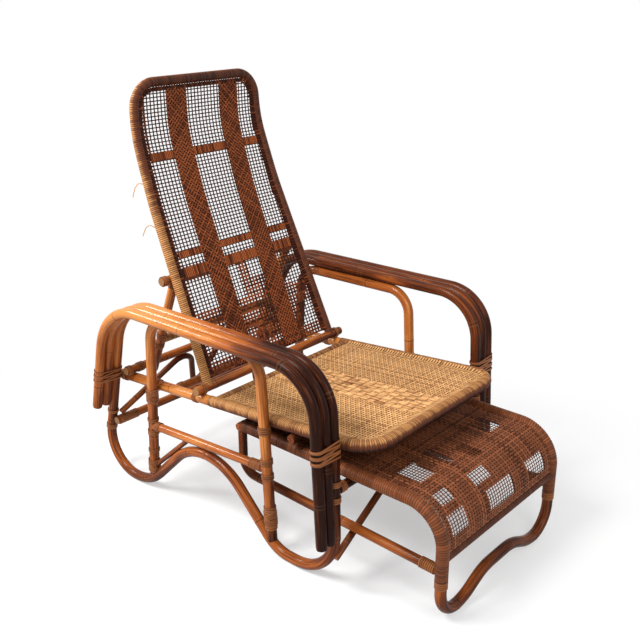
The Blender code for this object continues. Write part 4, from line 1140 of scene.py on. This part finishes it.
# Painted shade: dark strands under the footrest's small holes.
footrest_shade_backing = painted_shade_backing(FOOTREST_PANEL, footrest_columns, footrest_rows, footrest_open)
woven("footrest_woven_panel", FOOTREST_PANEL, footrest_columns, footrest_rows, FOOTREST_THICK, "footrest",
      WOVEN_RUSSET, ["footrest_weave"], footrest_width, footrest_shade, footrest_shade_backing)

# Bindings and ties
# Strips of cane are wound round the three strands of each arm, front and rear, and round every
# joint of the frame. They hold the poles together, with no screw showing.

BINDING_CANE = wound_cane("binding_cane", (0.27, 0.092, 0.028), (0.10, 0.028, 0.010))
CANE_STRIP = (0.0052, 0.0018)
HALF_ROUND = ((-0.5, 0.0), (-0.34, 0.8), (0.0, 1.0), (0.34, 0.8), (0.5, 0.0))
STRIP_SIDES = 28
TURN_STEP = 0.98


def strip_round(outline, thick_out, width, strip_tone):
    """A closed strip of half-round cane along an outline of (place, outward, along) rows."""
    verts, flat, tones = [], [], []
    run = 0.0
    for i, (place, out, way) in enumerate(outline):
        run += np.linalg.norm(place - outline[i - 1][0]) if i else 0.0
        for across_by, up_by in HALF_ROUND:
            verts.append(place + out * thick_out * up_by + way * width * across_by)
            flat.append((width * across_by, thick_out * up_by, run + strip_tone * 5))
            # The edges of each strip get painted shade where they meet the pole.
            tones.append((0.2, 1.0 - up_by, strip_tone))
    faces = [face[::-1] for face in skin(len(outline), len(HALF_ROUND), closed=True)]
    return np.array(verts), faces, np.array(flat), np.array(tones)


def tie(name, body, rings):
    """Several cane strips as one piece. Each ring is (centre, axis, reach, radius, width, lean)."""
    verts, faces, flat, tones = [], [], [], []
    for centre, axis, reach, radius, width, lean_by in rings:
        axis = Vector(axis).normalized()
        reach = Vector(reach)
        side = reach.normalized() if reach.length > 1e-6 else axis.orthogonal().normalized()
        side = (side - axis * side.dot(axis)).normalized()
        up_way = axis.cross(side)
        outline = []
        for k in range(STRIP_SIDES):
            angle = 2 * pi * (k + 0.5) / STRIP_SIDES
            out = side * cos(angle) + up_way * sin(angle)
            reached = (reach if cos(angle) > 0 else -reach) + out * radius
            place = Vector(centre) + reached + axis * Vector(lean_by).dot(reached)
            outline.append((np.array(place), np.array(out), np.array(axis)))
        v, f, u, t = strip_round(outline, CANE_STRIP[1], width, chance.uniform())
        first = sum(len(part) for part in verts)
        verts.append(v)
        faces += [tuple(k + first for k in face) for face in f]
        flat.append(u)
        tones.append(t)
    made = new_piece(name, np.vstack(verts), faces, np.vstack(flat), np.vstack(tones), BINDING_CANE)
    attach(made, body)
    return made


def turns(centre, axis, radius, count, width=CANE_STRIP[0], reach=(0, 0, 0), lean_by=(0, 0, 0)):
    """Neighbouring turns of a strip along an axis. lean_by is how far they climb across it."""
    axis = Vector(axis).normalized()
    return [(Vector(centre) + axis * (k - (count - 1) / 2) * width * TURN_STEP, axis, reach, radius, width,
             lean_by) for k in range(count)]


SNUG = POLE / 2 + GAP


def up_pole(x, line, axis, table):
    """Turns round an upright pole of a side frame at each (height, count) of the table."""
    return [ring for z, count in table for ring in turns((x, line(z), z), axis, SNUG, count)]


def on_bar(y, z, table):
    """Turns round a cross bar at each (x, count) of the table."""
    return [ring for x, count in table for ring in turns((x, y, z), (1, 0, 0), CROSS_POLE / 2, count)]


LASHING_SLOPE = 0.9
LASHING_LIFT = 0.0013
LASHING_WIDTHS = (0.0066, 0.0060)


def lashing(x, line, z, axis, count=6):
    """A crossed lashing: three strips climbing one way and three the other, on level turns."""
    rings = turns((x, line(z), z), axis, SNUG, count, LASHING_WIDTHS[0])
    for slope in (LASHING_SLOPE, -LASHING_SLOPE):
        rings += turns((x, line(z), z), axis, SNUG + LASHING_LIFT, 3, LASHING_WIDTHS[1],
                       lean_by=(0, slope, 0))
    return rings


def upright(lean_back):
    return Vector((0, sin(lean_back), cos(lean_back)))


SADDLE_RADIUS = HINGE_BAR / 2 + 0.0012
SADDLE_STRIP = 0.0034
FRONT_TURNS = (0.350, 0.3575, 0.365, 0.3725, 0.380, 0.3865)
REAR_TURNS = (0.310, 0.317, 0.324, 0.333, 0.340)
FRONT_AXIS = upright(FRONT_LEAN)
REAR_AXIS = upright(-REAR_LEAN)
HOOP_REAR_AXIS = upright(-HOOP_REAR_LEAN)
RAIL_AXIS = Vector((0, 1, (LOWER_RAIL_FRONT_Z - LOWER_RAIL_REAR_Z) / (HOOP_FRONT_Y - HOOP_REAR_Y)))
RUNNER_SLOPE = (RUNNER_Z[0] - RUNNER_Z[1]) / (FOOTREST_BAR_Y - FOOTREST_FRONT_Y)
for side, sign in SIDES:
    middle_x = sign * (SIDE_X + STRAND_PITCH)
    x = sign * SIDE_X
    reach = (STRAND_PITCH, 0, 0)
    rings = []
    for k, z in enumerate(FRONT_TURNS):
        lean_by = (0.06 if k % 2 else -0.06, 0, 0)
        rings += turns((middle_x, front_line(z), z), FRONT_AXIS, SNUG, 1, 0.0066, reach, lean_by)
    middle = (middle_x, front_line(FRONT_BINDING_Z), FRONT_BINDING_Z)
    rings += turns(middle, FRONT_AXIS, SNUG, 1, 0.0062, reach, (0.35, 0, 0))
    made = tie(f"front_arm_binding_{side}", "frame", rings)
    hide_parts(f"front_binding_{side}")
    rings = []
    for k, z in enumerate(REAR_TURNS):
        lean_by = (0.08 if k % 2 else -0.08, 0, 0)
        rings += turns((middle_x, rear_line(z), z), REAR_AXIS, SNUG, 1, 0.0060, reach, lean_by)
    made = tie(f"rear_arm_binding_{side}", "frame", rings)
    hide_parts(f"rear_binding_{side}")
    saddle = turns((sign * SEAT_X, HINGE_Y, HINGE_Z), (1, 0, 0), SADDLE_RADIUS, 3, SADDLE_STRIP)
    made = tie(f"hinge_tie_{side}", "frame", saddle)
    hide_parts(f"hinge_saddle_{side}")

    rings = up_pole(x, hoop_front_line, FRONT_AXIS, (
        (0.338, 4), (LOWER_RAIL_FRONT_Z + 0.020, 3), (LOWER_RAIL_FRONT_Z - 0.020, 3)))
    rail_y = hoop_front_line(LOWER_RAIL_FRONT_Z) + POLE / 2 + 0.022
    rings += turns((x, rail_y, lower_rail_z(rail_y)), RAIL_AXIS, CROSS_POLE / 2, 8)
    rings += lashing(x, hoop_front_line, 0.100, FRONT_AXIS, 10)
    rings += lashing(x, hoop_rear_line, 0.296, HOOP_REAR_AXIS)
    rings += up_pole(x, hoop_rear_line, HOOP_REAR_AXIS, (
        (LOWER_RAIL_REAR_Z + 0.019, 2), (LOWER_RAIL_REAR_Z - 0.019, 3), (0.128, 2)))
    rings += lashing(x, hoop_rear_line, 0.078, HOOP_REAR_AXIS)
    rail_y = hoop_rear_line(LOWER_RAIL_REAR_Z) - POLE / 2 - 0.010
    rings += turns((x, rail_y, lower_rail_z(rail_y)), RAIL_AXIS, CROSS_POLE / 2, 4)
    tie(f"hoop_ties_{side}", "frame", rings)

    rings = []
    for y, count in ((0.727, 4), (0.588, 4), (0.428, 3)):
        rings += turns((sign * SEAT_X, y, seat_z(y)), (0, 1, -SEAT_FALL), SNUG, count)
    rings += on_bar(UPPER_BAR_Y, UPPER_BAR_Z, ((sign * 0.245, 4), (sign * 0.283, 3)))
    rings += on_bar(LOWER_BAR_Y, LOWER_BAR_Z, ((sign * 0.262, 13),))
    rings += on_bar(SEAT_BACK_BAR_Y, seat_z(SEAT_BACK_BAR_Y), ((sign * 0.240, 3),))
    rings += up_pole(x, rear_line, REAR_AXIS, ((0.192, 2), (0.140, 3)))
    rings += up_pole(x, loop_front_line, upright(FRONT_LOOP_LEAN), (
        (FRONT_BAR_Z + 0.021, 3), (FRONT_BAR_Z - 0.021, 3)))
    rings += on_bar(FRONT_BAR_Y, FRONT_BAR_Z, ((sign * 0.272, 4),))
    tie(f"cross_bar_ties_{side}", "frame", rings)

    leg_x = sign * FOOTREST_X
    ahead = FOOTREST_RAIL / 2 + 0.020
    rings = turns((leg_x, FOOTREST_FRONT_Y + ahead, RUNNER_Z[1] + RUNNER_SLOPE * ahead), (0, 1, RUNNER_SLOPE),
                  CROSS_POLE / 2, 8)
    rings += turns((leg_x, FOOTREST_FRONT_Y, JOINT_Z - 0.007), (0, 0, 1), POLE / 2 - 0.0002, 4)
    tie(f"footrest_ties_{side}", "footrest", rings)

    half = back_half(STAY_PIVOT.z)
    rings = on_bar(STAY_PIVOT.y, STAY_PIVOT.z, (
        (sign * (half - 0.019), 3), (sign * (half + 0.019), 3), (sign * (STAY_LEG_X - 0.018), 3)))
    to_leg = Vector((sign * STAY_LEG_X, 0, 0))
    for down in (0.022, STAY_CROSSBAR_DOWN - 0.017, STAY_CROSSBAR_DOWN + 0.017):
        rings += turns(STAY_PIVOT + to_leg + leg_way * down, leg_way, BACK_POLE / 2, 3)
    tie(f"stay_ties_{side}", "stay", rings)

# Floor, light and camera
# A pale studio floor that fades to white, and three soft lamps: the key above the near side, one
# behind it and a weaker one in front. The camera stands where the photograph was taken from.

FLOOR_HALF = 9
floor = bpy.data.meshes.new("studio_floor")
floor_corners = [(FLOOR_HALF * x, FLOOR_HALF * y, 0) for x, y in ((-1, -1), (1, -1), (1, 1), (-1, 1))]
floor.from_pydata(floor_corners, [], [(0, 1, 2, 3)])
studio_floor = bpy.data.objects.new("studio_floor", floor)
bpy.context.scene.collection.objects.link(studio_floor)
pale = bpy.data.materials.new("pale_floor")
pale.use_nodes = True
paint = pale.node_tree.nodes["Principled BSDF"]
paint.inputs["Base Color"].default_value = (0.92, 0.92, 0.92, 1)
paint.inputs["Roughness"].default_value = 0.85
start = Signal(pale.node_tree, None)
spot = start.node("ShaderNodeNewGeometry")
from_chair = start.node("ShaderNodeVectorMath", {"operation": "LENGTH"}, out=1, i0=spot)
white = start.node("ShaderNodeEmission", None, Color=(1, 1, 1, 1), Strength=1.0)
fade = start.node("ShaderNodeMixShader", None, i0=0.4 + 0.6 * from_chair.between(0.3, 1.4),
                  i1=Signal(pale.node_tree, paint.outputs[0]), i2=white)
pale.node_tree.links.new(fade.socket, pale.node_tree.nodes["Material Output"].inputs["Surface"])
floor.materials.append(pale)

WORLD_LIGHT = 0.55
world = bpy.data.worlds.new("studio")
world.use_nodes = True
bpy.context.scene.world = world
backdrop = world.node_tree.nodes["Background"]
backdrop.inputs["Color"].default_value = (1, 1, 1, 1)
sky = Signal(world.node_tree, None)
ray = sky.node("ShaderNodeLightPath").socket.node.outputs
seen = sum((Signal(world.node_tree, ray[f"Is {kind} Ray"]) for kind in ("Glossy", "Transmission")),
           Signal(world.node_tree, ray["Is Camera Ray"]))
level = seen * (1 - WORLD_LIGHT) + WORLD_LIGHT
world.node_tree.links.new(level.socket, backdrop.inputs["Strength"])


def soft_lamp(name, place, target, size, watts):
    lamp = bpy.data.lights.new(name, "AREA")
    lamp.size = size
    lamp.energy = watts
    holder = bpy.data.objects.new(name, lamp)
    bpy.context.scene.collection.objects.link(holder)
    holder.location = place
    holder.rotation_euler = (Vector(target) - Vector(place)).to_track_quat("-Z", "Y").to_euler()


soft_lamp("key_lamp", (-2.1, 0.7, 3.1), (0, 0, 0.4), 1.2, 105)
soft_lamp("rear_lamp", (-1.6, 2.7, 2.2), (-0.2, 0, 0.4), 0.8, 60)
soft_lamp("front_lamp", (-1.0, -3.0, 2.4), (0, 0, 0.4), 1.8, 36)

PHOTO_FOCAL = 905
PHOTO_WIDTH = 640
camera = bpy.data.cameras.new("camera")
camera.sensor_width = 36
camera.lens = PHOTO_FOCAL / PHOTO_WIDTH * camera.sensor_width
viewpoint = bpy.data.objects.new("camera", camera)
bpy.context.scene.collection.objects.link(viewpoint)
viewpoint.location = (-1.668, -1.2254 - CENTRED, 1.3609)
viewpoint.rotation_euler = (radians(69.10), 0, radians(-48.87))
bpy.context.scene.camera = viewpoint
bpy.context.scene.view_settings.view_transform = "Standard"
